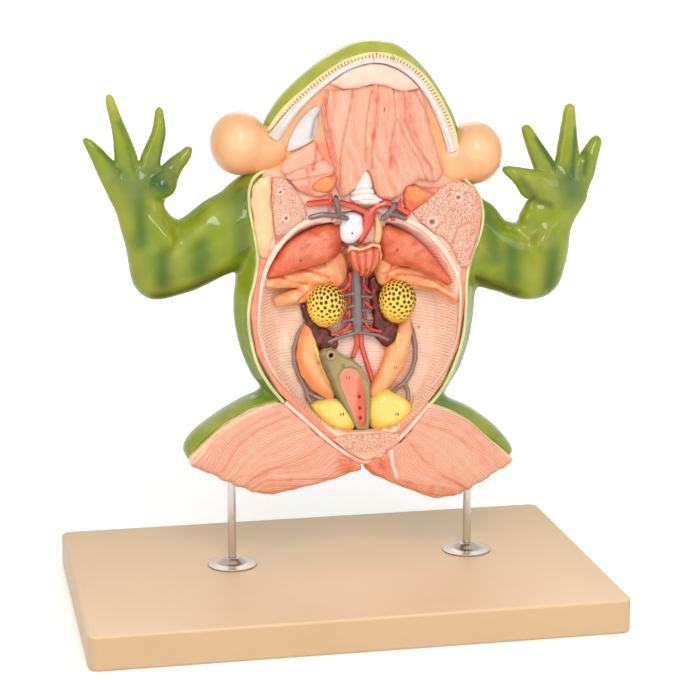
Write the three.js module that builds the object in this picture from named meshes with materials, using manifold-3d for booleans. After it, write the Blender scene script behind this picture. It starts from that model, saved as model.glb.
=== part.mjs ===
// Frog dissection model: a frog with its belly opened, standing on two rods over a board.
// Millimetres, +Z up. The origin is the centre of the board's underside and the belly faces -Y.
// "Left" and "right" are the viewer's, looking along +Y at the opened belly.
import * as THREE from "three";
import { mergeVertices } from "three/addons/utils/BufferGeometryUtils.js";
import Module from "manifold-3d";

const wasm = await Module();
wasm.setup();

// Clearance between neighbouring pieces
const GAP = 0.3;

// Stand
const BOARD = { width: 380, depth: 240, height: 25, corner: 5, edge: 2 };
const ROD = { radius: 3, y: 13.5, bottom: 2.5 };
const LEFT_ROD = { x: -72.8, top: 122 };
const RIGHT_ROD = { x: 104.5, top: 110 };
const FLANGE = { radius: 18, rim: 1.6, hub: 5.5, height: 8 };
const NUT = { acrossFlats: 10, height: 5, bottom: 2 };
const COUNTERBORE = { radius: 8, depth: 8 };

// Depths of the frog: its cut face, its widest ring and the floor of its belly
const CUT_Y = -5;
const FLANK_Y = 15;
const FLOOR_Y = 15;
const PLATE_BACK_Y = 4;

// Heights of the frog's trunk
const TRUNK = { bottom: 97, top: 405.5, cutTop: 398, middleX: 29 };
const SKIN = 2.5;
const TRUNK_LEVELS = 22;
const INNER_LEVELS = 14;

// Solid and surface tools

// A closed mesh as a solid, with its faces turned outwards.
function solid(geometry) {
  const bare = new THREE.BufferGeometry();
  bare.setAttribute("position", geometry.getAttribute("position"));
  bare.setIndex(geometry.getIndex());
  const merged = mergeVertices(bare, 1e-4);
  const vertProperties = merged.getAttribute("position").array;
  const corners = merged.getIndex().array;
  const point = (i) => new THREE.Vector3().fromArray(vertProperties, 3 * i);
  const triangles = [];
  let volume = 0;
  for (let i = 0; i < corners.length; i += 3) {
    const [a, b, c] = corners.slice(i, i + 3);
    if (a === b || b === c || c === a) continue;
    triangles.push([a, b, c]);
    volume += point(a).dot(point(b).cross(point(c)));
  }
  if (volume < 0) triangles.forEach((triangle) => triangle.reverse());
  const triVerts = new Uint32Array(triangles.flat());
  return new wasm.Manifold(new wasm.Mesh({ numProp: 3, vertProperties, triVerts }));
}

// Triangles that close a flat ring, turned with or against the ring's own order.
function capTriangles(ring, first, along) {
  const spread = (axis) => Math.max(...ring.map((p) => p[axis])) - Math.min(...ring.map((p) => p[axis]));
  const [u, v] = ["x", "y", "z"].sort((a, b) => spread(b) - spread(a));
  const flat = ring.map((p) => new THREE.Vector2(p[u], p[v]));
  const turn = Math.sign(THREE.ShapeUtils.area(flat)) * (along ? 1 : -1);
  return THREE.ShapeUtils.triangulateShape(flat, []).flatMap((triangle) => {
    const same = Math.sign(THREE.ShapeUtils.area(triangle.map((i) => flat[i]))) === turn;
    return (same ? triangle : triangle.toReversed()).map((i) => first + i);
  });
}

// A closed solid through a row of rings with equally many points; a ring of one point is a pole.
function loft(rings) {
  const starts = rings.map((_, r) => rings.slice(0, r).reduce((sum, ring) => sum + ring.length, 0));
  const at = (r, i) => starts[r] + (rings[r].length === 1 ? 0 : i % rings[r].length);
  const index = [];
  for (let r = 0; r + 1 < rings.length; r++) {
    const count = Math.max(rings[r].length, rings[r + 1].length);
    for (let i = 0; i < count; i++) {
      index.push(at(r, i), at(r, i + 1), at(r + 1, i + 1));
      index.push(at(r, i), at(r + 1, i + 1), at(r + 1, i));
    }
  }
  const last = rings.length - 1;
  if (rings[0].length > 1) index.push(...capTriangles(rings[0], 0, false));
  if (rings[last].length > 1) index.push(...capTriangles(rings[last], starts[last], true));
  const geometry = new THREE.BufferGeometry().setFromPoints(rings.flat());
  geometry.setIndex(index);
  return solid(geometry);
}

// A smooth value along the height, through [height, value] pairs that start at the top.
function alongHeight(pairs) {
  const last = pairs.length - 1;
  return (z) => {
    if (z >= pairs[0][0]) return pairs[0][1];
    if (z <= pairs[last][0]) return pairs[last][1];
    const i = pairs.findIndex(([height]) => height <= z);
    const [a, b] = [pairs[i - 1], pairs[i]];
    const before = pairs[Math.max(i - 2, 0)];
    const after = pairs[Math.min(i + 1, last)];
    const span = b[0] - a[0];
    const slopeA = ((b[1] - before[1]) / (b[0] - before[0])) * span;
    const slopeB = ((after[1] - a[1]) / (after[0] - a[0])) * span;
    const t = (z - a[0]) / span;
    const rise = b[1] - a[1];
    const bend = 3 * rise - 2 * slopeA - slopeB;
    const twist = slopeA + slopeB - 2 * rise;
    return a[1] + slopeA * t + bend * t * t + twist * t ** 3;
  };
}

// A smooth closed outline in the XZ plane through a few corners, moved outwards by grow.
function outline(corners, count, grow = 0) {
  const curve = new THREE.CatmullRomCurve3(corners.map(([x, z]) => new THREE.Vector3(x, 0, z)), true);
  const ring = curve.getPoints(count).slice(0, count);
  if (grow === 0) return ring;
  const outward = Math.sign(THREE.ShapeUtils.area(ring.map((p) => new THREE.Vector2(p.x, p.z)))) * grow;
  return ring.map((p, i) => {
    const run = ring[(i + 1) % count].clone().sub(ring[(i + count - 1) % count]).normalize();
    return new THREE.Vector3(p.x + run.z * outward, 0, p.z - run.x * outward);
  });
}

// The point of a chain of [x, z] points that lies closest to p.
function nearest(core, p) {
  const links = core.length === 1 ? [[core[0], core[0]]] : core.slice(1).map((end, i) => [core[i], end]);
  const feet = links.map(([a, b]) => {
    const line = new THREE.Line3(new THREE.Vector3(a[0], 0, a[1]), new THREE.Vector3(b[0], 0, b[1]));
    return core.length === 1 ? line.start : line.closestPointToPoint(p, true, new THREE.Vector3());
  });
  return feet.sort((a, b) => a.distanceTo(p) - b.distanceTo(p))[0];
}

// A ring drawn in towards a chain of points, at a depth.
const shrinkTo = (ring, core, size, y) =>
  ring.map((p) => {
    const middle = nearest(core, p);
    return new THREE.Vector3(middle.x + (p.x - middle.x) * size, y, middle.z + (p.z - middle.z) * size);
  });

// Ring sizes and heights of a round and of a flat-topped crown, each [size, height], both 0 to 1
const ROUND = [[0.82, 0.58], [0.42, 0.92]];
const FLAT = [[0.9, 0.72], [0.62, 1]];

// A piece with a smooth outline, a flat back and a crowned front that swells over its core line.
function pillow(corners, { core, back, edge, front, crown = ROUND, count = 14 }, grow = 0) {
  const foot = outline(corners, count, grow);
  const rise = edge - front;
  const crownRings = crown.map(([size, height]) => shrinkTo(foot, core, size, edge - rise * height - grow));
  const side = [back + grow, edge - grow * 0.5].map((y) => shrinkTo(foot, core, 1, y));
  return loft([...side, ...crownRings]);
}

// A limb or vessel: an oval carried along a smooth path and rounded at both ends.
// Each station is [x, y, z, half width, half depth].
function limb(stations, { perSpan = 1, sides = 8, cap = 1 } = {}, grow = 0) {
  const path = new THREE.CatmullRomCurve3(stations.map(([x, y, z]) => new THREE.Vector3(x, y, z)));
  const girth = new THREE.CatmullRomCurve3(stations.map(([, , , w, d]) => new THREE.Vector3(w, d, 0)));
  const ring = (t, size, shift) => {
    const centre = path.getPoint(t);
    const { x: width, y: depth } = girth.getPoint(t);
    const ahead = path.getTangent(t);
    const side = new THREE.Vector3().crossVectors(ahead, new THREE.Vector3(0, 1, 0)).normalize();
    const up = new THREE.Vector3().crossVectors(side, ahead);
    const reach = (Math.min(width, depth) + grow) * shift;
    return Array.from({ length: size === 0 ? 1 : sides }, (_, i) => {
      const angle = ((i + 0.5) / sides) * 2 * Math.PI;
      return centre
        .clone()
        .addScaledVector(ahead, reach)
        .addScaledVector(side, (width + grow) * size * Math.cos(angle))
        .addScaledVector(up, (depth + grow) * size * Math.sin(angle));
    });
  };
  const steps = perSpan * (stations.length - 1);
  const ends = Array.from({ length: cap + 1 }, (_, k) => (k / (cap + 1)) * (Math.PI / 2));
  const rings = [
    ...ends.map((a) => ring(0, Math.sin(a), -Math.cos(a))),
    ...Array.from({ length: steps + 1 }, (_, i) => ring(i / steps, 1, 0)),
    ...ends.toReversed().map((a) => ring(1, Math.sin(a), Math.cos(a))),
  ];
  return loft(rings);
}

// A tube of one radius through [x, y, z] points.
function vessel(points, radius, grow = 0) {
  const stations = points.map((p) => [...p, radius, radius]);
  return limb(stations, { sides: 5, cap: 0 }, grow);
}

// A turned piece round a vertical axis, from a profile of [radius, z].
function turned(profile, x, y, segments = 20) {
  const geometry = new THREE.LatheGeometry(profile.map(([r, z]) => new THREE.Vector2(r, z)), segments);
  return solid(geometry.rotateX(Math.PI / 2).translate(x, y, 0));
}

// A round bar between two heights.
function bar(radius, bottom, top, x, y, segments = 12) {
  return turned([[0, bottom], [radius, bottom], [radius, top], [0, top]], x, y, segments);
}

// A round peg along Y between two depths.
function peg(radius, from, to, x, z, segments = 8) {
  const geometry = new THREE.CylinderGeometry(radius, radius, to - from, segments);
  return solid(geometry.translate(x, (from + to) / 2, z));
}

// A slice of space between two depths.
function slab(from, to) {
  return solid(new THREE.BoxGeometry(1000, to - from, 1000).translate(0, (from + to) / 2, 250));
}

const join = (first, ...others) => others.reduce((sum, part) => sum.add(part), first);
const cut = (first, ...others) => others.reduce((rest, part) => rest.subtract(part), first);

// The finished group, filled piece by piece
const model = new THREE.Group();
model.name = "frog_dissection_model";

function piece(name, material, shape) {
  const { vertProperties, triVerts } = shape.getMesh();
  const geometry = new THREE.BufferGeometry();
  geometry.setAttribute("position", new THREE.BufferAttribute(vertProperties, 3));
  geometry.setIndex(new THREE.BufferAttribute(triVerts, 1));
  geometry.computeVertexNormals();
  const mesh = new THREE.Mesh(geometry, material);
  mesh.name = name;
  model.add(mesh);
}

function finish(color, roughness, metalness = 0) {
  return new THREE.MeshStandardMaterial({ color, roughness, metalness });
}
const chrome = finish("#D8DADC", 0.12, 1);
const steel = finish("#9A9C9E", 0.4, 1);
const boardLacquer = finish("#E8CBA4", 0.5);
const greenSkin = finish("#86992F", 0.3);
const flesh = finish("#F3A583", 0.4);
const paleFlesh = finish("#FAD3B8", 0.4);
const sponge = finish("#F2B79B", 0.5);
const bone = finish("#E6E3DC", 0.4);
const gumYellow = finish("#F3DE9A", 0.4);
const sacPeach = finish("#FBC38D", 0.3);
const glandOrange = finish("#F0944F", 0.35);
const lungRed = finish("#E8643F", 0.35);
const fatOrange = finish("#F5A26B", 0.35);
const heartRed = finish("#E5663C", 0.35);
const atriumWhite = finish("#E6EEF3", 0.25);
const arteryRed = finish("#E0402F", 0.3);
const veinGrey = finish("#6E6468", 0.35);
const ovaryYellow = finish("#F6DC5E", 0.4);
const kidneyBrown = finish("#5E2A20", 0.2);
const ductOrange = finish("#F9A967", 0.3);
const bladderYellow = finish("#F7E35B", 0.35);
const cloacaOlive = finish("#8E8555", 0.35);
const eyeGold = finish("#C9A23A", 0.15);

// Stand: a board, two rods that screw through it, and a flange and a nut on each rod

function roundedBoard() {
  const { width, depth, height, corner, edge } = BOARD;
  const [x, y] = [width / 2 - edge, depth / 2 - edge];
  const shape = new THREE.Shape();
  shape.absarc(x - corner, y - corner, corner, 0, Math.PI / 2);
  shape.absarc(corner - x, y - corner, corner, Math.PI / 2, Math.PI);
  shape.absarc(corner - x, corner - y, corner, Math.PI, 1.5 * Math.PI);
  shape.absarc(x - corner, corner - y, corner, 1.5 * Math.PI, 2 * Math.PI);
  const bevel = { bevelThickness: edge, bevelSize: edge, bevelSegments: 1, curveSegments: 2 };
  const geometry = new THREE.ExtrudeGeometry(shape, { depth: height - 2 * edge, ...bevel });
  return solid(geometry.translate(0, 0, edge));
}

const rodPlaces = [["left", LEFT_ROD], ["right", RIGHT_ROD]];
const rodHoles = rodPlaces.flatMap(([, { x }]) => [
  bar(ROD.radius + GAP, -1, BOARD.height + 1, x, ROD.y),
  bar(COUNTERBORE.radius, -1, COUNTERBORE.depth, x, ROD.y),
]);
piece("base_board", boardLacquer, cut(roundedBoard(), ...rodHoles));

for (const [side, { x, top }] of rodPlaces) {
  const { radius, y, bottom } = ROD;
  const bore = radius + GAP;
  const foot = BOARD.height + GAP;
  const chamfer = 0.6;
  const rodProfile = [
    [0, bottom],
    [radius - chamfer, bottom],
    [radius, bottom + chamfer],
    [radius, top - chamfer],
    [radius - chamfer, top],
    [0, top],
  ];
  piece(`${side}_rod`, chrome, turned(rodProfile, x, y, 12));

  const { radius: disc, rim, hub, height } = FLANGE;
  const flangeProfile = [
    [bore, foot],
    [disc, foot],
    [disc, foot + rim * 0.6],
    [disc * 0.68, foot + rim * 1.5],
    [hub + 1.5, foot + height * 0.55],
    [hub, foot + height * 0.8],
    [hub - 0.8, foot + height],
    [bore, foot + height],
    [bore, foot],
  ];
  piece(`${side}_flange`, chrome, turned(flangeProfile, x, y, 16));

  const washerTop = COUNTERBORE.depth - GAP;
  const washer = [[bore, washerTop - 0.7], [7, washerTop - 0.7], [7, washerTop], [bore, washerTop]];
  const nut = bar(NUT.acrossFlats / Math.sqrt(3), NUT.bottom, NUT.bottom + NUT.height, x, y, 6);
  const collar = turned([...washer, washer[0]], x, y, 12);
  piece(`${side}_flange_nut`, steel, cut(join(nut, collar), bar(bore, -1, 20, x, y)));
}

// Trunk and head: level rings from the crown of the head down to the crotch

const cutLeft = alongHeight([
  [398, 29], [394, 12], [388, 0], [380, -11], [370, -24], [360, -34], [350, -43], [340, -49], [331, -49],
  [322, -50], [312, -58], [300, -61.5], [285, -60.5], [270, -57.5], [255, -56], [240, -58], [225, -62],
  [210, -63], [195, -61], [180, -57], [165, -49.5], [150, -38], [135, -23], [120, -8], [108, 8], [101, 20],
]);
const cutRight = alongHeight([
  [398, 29], [394, 47], [388, 56], [378, 66], [366, 74], [352, 82], [338, 87.5], [327, 91], [318, 87],
  [312, 87], [306, 95], [298, 105], [288, 109.5], [278, 110], [265, 107.5], [250, 101.5], [238, 99],
  [215, 98.5], [200, 97.5], [187, 95], [175, 91], [162, 85.5], [150, 78], [136, 65], [122, 55], [108, 39],
  [101, 24],
]);
const flankLeft = alongHeight([
  [404, 16], [400, 9], [395, 0], [389, -9], [381, -19], [372, -30], [360, -40], [350, -46.5], [340, -51],
  [328, -52], [315, -58], [300, -66], [280, -66], [260, -64], [246, -66], [236, -68.5], [216, -70.5],
  [206, -69], [196, -67], [180, -63], [167, -56.5], [150, -44], [130, -24], [110, 2], [99, 18],
]);
const flankRight = alongHeight([
  [404, 47], [400, 53], [395, 59], [389, 65], [377, 75], [364, 83], [351, 90], [338, 94.5], [327, 97],
  [315, 95], [305, 101], [292, 112], [278, 116], [262, 114], [248, 110], [236, 108], [211, 106.5],
  [196, 105], [183, 102], [169, 97], [155, 91], [140, 80], [125, 63], [110, 46], [99, 26],
]);
const backDepth = alongHeight([
  [405, 18], [400, 27], [390, 34], [372, 40], [350, 43], [325, 43], [300, 48], [270, 51], [230, 51],
  [190, 48], [160, 44], [130, 38], [110, 28], [97, 18],
]);

// Half sizes shrink by the inset, but never by more than a third.
const shrunk = (half, inset) => half - Math.min(inset, half / 3);

function trunkRing(z, inset, levelZ) {
  const { top, cutTop, middleX } = TRUNK;
  const above = Math.max(0, (z - cutTop) / (top - cutTop));
  const frontY = CUT_Y + (FLANK_Y - CUT_Y) * (Math.asin(Math.min(1, above)) / (Math.PI / 2));
  const [flankL, flankR] = [flankLeft(z), flankRight(z)];
  const narrowing = Math.sqrt(Math.max(0, 1 - Math.max(0, (z - 404) / (top - 404))));
  const middle = (flankL + flankR) / 2;
  const half = shrunk(((flankR - flankL) / 2) * narrowing, inset);
  const cutMiddle = above > 0 ? middleX : (cutLeft(z) + cutRight(z)) / 2;
  const cutHalf = above > 0 ? 0 : shrunk((cutRight(z) - cutLeft(z)) / 2, inset);
  const depth = shrunk((backDepth(z) - FLANK_Y) * narrowing, inset);
  const ring = [];
  for (const t of [0, 0.33, 0.67]) {
    const x = THREE.MathUtils.lerp(cutMiddle - cutHalf, middle - half, Math.sin((t * Math.PI) / 2));
    ring.push(new THREE.Vector3(x, THREE.MathUtils.lerp(frontY, FLANK_Y, t), levelZ));
  }
  const backSteps = 6;
  for (let i = 0; i <= backSteps; i++) {
    const angle = (i / backSteps) * Math.PI;
    const across = Math.sign(Math.cos(angle)) * Math.abs(Math.cos(angle)) ** 0.9;
    ring.push(new THREE.Vector3(middle - half * across, FLANK_Y + depth * Math.sin(angle) ** 0.8, levelZ));
  }
  for (const t of [0.67, 0.33, 0]) {
    const x = THREE.MathUtils.lerp(cutMiddle + cutHalf, middle + half, Math.sin((t * Math.PI) / 2));
    ring.push(new THREE.Vector3(x, THREE.MathUtils.lerp(frontY, FLANK_Y, t), levelZ));
  }
  return ring;
}

// The whole trunk as a solid; a positive inset makes the space inside its skin.
function trunk(inset, levels = TRUNK_LEVELS) {
  const { bottom, top, middleX } = TRUNK;
  const [middle, half] = [(top + bottom) / 2, (top - bottom) / 2];
  const squeeze = 1 - inset / half;
  const rings = [[new THREE.Vector3(22, FLANK_Y, middle - half * squeeze)]];
  for (let k = 1; k < levels; k++) {
    const z = middle - half * Math.cos((k / levels) * Math.PI);
    rings.push(trunkRing(z, inset, middle + (z - middle) * squeeze));
  }
  rings.push([new THREE.Vector3(middleX, FLANK_Y, middle + half * squeeze)]);
  return loft(rings);
}

// A prism over the cut face between two depths, with its edge drawn in by the width of a lip.
function cutPrism(lip, from, to) {
  const heights = Array.from({ length: 20 }, (_, i) => 396.8 - i * 15.4);
  const corners = [
    ...heights.map((z) => [cutLeft(z), z]),
    ...heights.toReversed().map((z) => [cutRight(z), z]),
  ];
  const ring = outline(corners, corners.length, -lip);
  return loft([from, to].map((y) => ring.map((p) => new THREE.Vector3(p.x, y, p.z))));
}

const inFront = cutPrism(-GAP, -40, 0);
const trunkGrown = trunk(-GAP).add(inFront);
const trunkInside = trunk(SKIN, INNER_LEVELS);
piece("dorsal_shell", greenSkin, cut(trunk(0), trunkInside, cutPrism(SKIN, -12, 0)));

// Eyes, bulging from the back of the head
const EYE = { radius: 11, spread: 27, y: 35, z: 366 };
for (const [side, sign] of [["left", -1], ["right", 1]]) {
  const ball = new THREE.SphereGeometry(EYE.radius, 10, 7).rotateX(-Math.PI / 2);
  const place = ball.translate(TRUNK.middleX - 4 + sign * EYE.spread, EYE.y, EYE.z);
  piece(`${side}_eye`, eyeGold, cut(solid(place), trunkGrown));
}

// Arms: upper arm, forearm and palm, with four fingers; the left thumb has a swollen pad at its root
const LEFT_ARM = [
  [[-50, 14, 284, 32, 21], [-67.5, 13, 276, 27.5, 20], [-87.5, 12, 265.5, 26.5, 19],
    [-108, 12, 254, 24.5, 18], [-122, 12, 248, 21.5, 17]],
  [[-123, 12, 249, 21, 16.5], [-128, 11, 264, 19.5, 15.5], [-130, 10, 279, 20, 14],
    [-136.5, 9, 292, 17, 11], [-140, 8, 303, 17.5, 9], [-140, 8, 313, 14, 7.5]],
];
const LEFT_FINGERS = [
  [[-149, 8, 303, 8, 6], [-157, 8, 318, 7.5, 6], [-166, 8, 332, 4.5, 4], [-172, 8, 340, 2.6, 2.4]],
  [[-141, 8, 306, 9, 6.5], [-145, 8, 328, 7.5, 6], [-150.5, 8, 350, 4.6, 4], [-155.5, 8, 370, 2.8, 2.6]],
  [[-133, 8, 306, 9, 6.5], [-127.5, 8, 328, 6.6, 5.5], [-123.5, 8, 345, 4.5, 4], [-121.5, 8, 360, 2.8, 2.6]],
  [[-128, 7, 301, 9, 6], [-118.5, 7, 313, 7, 5.5], [-109.5, 7, 324, 5.2, 4.5], [-101.5, 7, 332.5, 3, 2.8]],
  [[-126, 2, 303, 5.5, 5], [-122, 1, 308, 7, 6], [-117, 2, 313.5, 5, 4.5]],
];
const RIGHT_ARM = [
  [[96, 14, 266, 33, 21], [111, 13, 260, 31, 20], [124, 12, 250.5, 27.5, 19], [138, 12, 243, 25.5, 18],
    [151, 12, 239, 23, 17]],
  [[152, 12, 239, 23, 17], [158, 11, 254, 20.5, 16], [160, 10, 267, 20, 14.5], [164, 9, 280, 20.5, 12],
    [170, 8, 293, 19, 9.5], [173, 8, 305, 15, 8]],
];
const RIGHT_FINGERS = [
  [[163, 4, 296, 9.5, 7], [151, 2.5, 303.5, 7.5, 6], [140, 2.5, 309, 5, 4.5], [129, 3, 313.5, 2.6, 2.5]],
  [[165, 8, 300, 9, 6.5], [157, 8, 315, 7.5, 6], [149.5, 8, 329, 5.5, 5], [143.5, 8, 341, 3.6, 3.4]],
  [[174.5, 8, 302, 10, 6.5], [175, 8, 320, 8.5, 6], [175.3, 8, 338, 6, 5], [176, 8, 355, 4, 3.8]],
  [[180, 8, 298, 9, 6.5], [187.5, 8, 312, 7.5, 5.5], [192.5, 8, 322, 6, 5], [196.5, 8, 331, 4, 3.8]],
];
const arm = (bones, fingers) =>
  join(
    ...bones.map((stations) => limb(stations, { sides: 9 })),
    ...fingers.map((stations) => limb(stations, { sides: 6 })),
  );

// Vocal sacs, blown up at the corners of the jaw
const SAC_RADIUS = 23;
const SACS = { left: [-63, 8, 335.5], right: [103.5, 8, 324.5] };
function sac(side, grow = 0) {
  const ball = new THREE.SphereGeometry(SAC_RADIUS + grow, 11, 7);
  return solid(ball.translate(...SACS[side]));
}
const arms = [["left", LEFT_ARM, LEFT_FINGERS], ["right", RIGHT_ARM, RIGHT_FINGERS]];
for (const [side, bones, fingers] of arms)
  piece(`${side}_arm`, greenSkin, cut(arm(bones, fingers), trunkGrown, sac(side, GAP)));

// Thighs, cut off short: green skin behind, bare muscle in front, and a blind hole for a rod
const LEFT_THIGH = {
  face: [[-28, 146], [-50, 149.5], [-75, 138.5], [-98, 118.5], [-106, 109.5], [-95, 103], [-77, 93],
    [-60, 85.5], [-45, 81.5], [-25, 86.5], [0, 92], [16, 99.5], [0, 124]],
  flank: [[-26, 152], [-48, 156.5], [-73, 146], [-103, 125.5], [-111, 112], [-98, 103.5], [-79, 94],
    [-61, 87], [-45, 83], [-25, 88], [0, 93.5], [16, 101], [0, 126]],
  core: [[-70, 118], [-15, 118]],
  rod: LEFT_ROD,
};
const RIGHT_THIGH = {
  face: [[58, 146], [80, 140], [100, 129], [120, 110], [134, 98], [125, 92], [103, 79], [83, 71.5],
    [65, 76], [42, 86.5], [27, 98.5], [40, 122]],
  flank: [[58, 152], [84, 145.5], [107, 136], [130, 117], [141.5, 98.5], [128, 92.5], [104, 80], [83, 73],
    [65, 77.5], [42, 88], [27, 100], [40, 124]],
  core: [[48, 112], [98, 106]],
  rod: RIGHT_ROD,
};
const THIGH = { faceY: -3.5, muscleBack: 5, muscleFront: -9, count: 18 };
function thighSkin({ face, flank, core }) {
  const front = outline(face, THIGH.count, 1.2);
  const wide = outline(flank, THIGH.count);
  const between = front.map((p, i) => p.clone().lerp(wide[i], 0.8));
  return loft([
    front.map((p) => p.setY(THIGH.faceY)),
    between.map((p) => p.setY(5)),
    shrinkTo(wide, core, 1, FLANK_Y),
    shrinkTo(wide, core, 0.95, 26),
    shrinkTo(wide, core, 0.75, 35),
    shrinkTo(wide, core, 0.4, 39),
  ]);
}

function thighMuscle({ face, core }, grow = 0) {
  const { muscleBack: back, muscleFront: front, count } = THIGH;
  return pillow(face, { core, back, edge: CUT_Y, front, crown: FLAT, count }, grow);
}

const thighs = [["left", LEFT_THIGH], ["right", RIGHT_THIGH]];
for (const [side, thigh] of thighs) {
  const rodHole = bar(ROD.radius + GAP, 50, thigh.rod.top + GAP, thigh.rod.x, ROD.y);
  const skin = cut(thighSkin(thigh), thighMuscle(thigh, GAP), trunkGrown, rodHole);
  piece(`${side}_thigh_skin`, greenSkin, skin);
}

// Body wall: a plate across the cut face, with a bowl for the belly organs

const BELLY = {
  rim: [[17, 280], [-1, 280], [-13, 279.5], [-24, 276], [-34, 269], [-42, 259], [-48, 248], [-51.5, 236],
    [-54, 220], [-54, 205], [-51, 189], [-44.5, 173], [-34, 157], [-20, 142], [-5, 129.5], [8, 125.5],
    [24, 125], [40, 125.5], [52, 129], [66, 140], [77, 154], [85.5, 169], [91, 187], [92.5, 205],
    [91.5, 222], [88.5, 236], [82, 248], [74, 260], [63, 270], [50, 277], [34, 280]],
  floor: [[17, 274], [-1, 273], [-11, 270], [-20, 265], [-27, 258], [-32, 249], [-34, 240], [-34, 228],
    [-34, 214], [-34, 200], [-32.5, 185], [-29, 172], [-23, 158], [-15, 146], [-4, 132], [8, 123.5],
    [24, 123], [40, 123.5], [52, 131], [60, 143], [66, 156], [70, 170], [72, 186], [72, 202], [71, 217],
    [69, 230], [65, 242], [59, 252], [51, 262], [43, 269], [34, 273]],
};
const bowlSlope = [0, 0.35, 0.7, 1];

// The hollow of the belly; a negative grow keeps clear of its wall.
function bellyHollow(grow = 0, count = 30) {
  const rim = outline(BELLY.rim, count, grow);
  const floor = outline(BELLY.floor, count, grow);
  const ring = (w, y) => rim.map((p, i) => p.clone().lerp(floor[i], w).setY(y));
  return loft([
    ring(0, -14),
    ...bowlSlope.map((w) => ring(w, CUT_Y + (FLOOR_Y + grow - CUT_Y) * Math.sin((w * Math.PI) / 2))),
  ]);
}
const bellySpace = bellyHollow(-GAP);

// The pillar behind the heart carries the great vessels, and three posts carry the loose organs.
const PILLAR = [[3, 258], [10, 255], [30, 255], [37, 258], [38, 270], [37, 286], [3, 286], [2, 270]];
const HEART_PEG = { x: 21.5, z: 252, radius: 2, tip: -5 };
const OVARIES = {
  left: { x: -5, y: 0, z: 218.5, halfWidth: 13.6, halfHeight: 15.5, pegX: -5, pegZ: 222 },
  right: { x: 47.5, y: 0, z: 219.5, halfWidth: 13.4, halfHeight: 15.5, pegX: 49, pegZ: 222 },
};
const OVARY_BACK_Y = 6;
const PEG_RADIUS = 1.6;
const POST_RADIUS = 3;
const HEART_POST_RADIUS = 4;
const posts = [
  peg(HEART_POST_RADIUS, 0.6, FLOOR_Y + 1, HEART_PEG.x, HEART_PEG.z),
  peg(HEART_PEG.radius, HEART_PEG.tip, FLOOR_Y + 1, HEART_PEG.x, HEART_PEG.z),
  ...Object.values(OVARIES).flatMap(({ pegX, pegZ }) => [
    peg(POST_RADIUS, OVARY_BACK_Y + GAP, FLOOR_Y + 1, pegX, pegZ),
    peg(PEG_RADIUS, 0, FLOOR_Y + 1, pegX, pegZ),
  ]),
];
const wallSpace = trunk(SKIN + GAP, INNER_LEVELS);
const plate = wallSpace.intersect(slab(CUT_Y, PLATE_BACK_Y));
const bowl = bellyHollow(2.5).intersect(wallSpace).intersect(slab(CUT_Y, 40));
const PILLAR_FRONT_Y = 1;
const pillarPrism = (from, to, grow = 0) =>
  loft([from, to].map((y) => outline(PILLAR, 12, grow).map((p) => p.setY(y))));
const trunkWall = cut(join(plate, bowl), bellyHollow(), pillarPrism(-14, PILLAR_FRONT_Y));
piece("body_wall", paleFlesh, join(trunkWall, pillarPrism(PILLAR_FRONT_Y, FLOOR_Y + 1), ...posts));

// Relief on the cut face stands on this plane
const FACE = CUT_Y - GAP;

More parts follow.
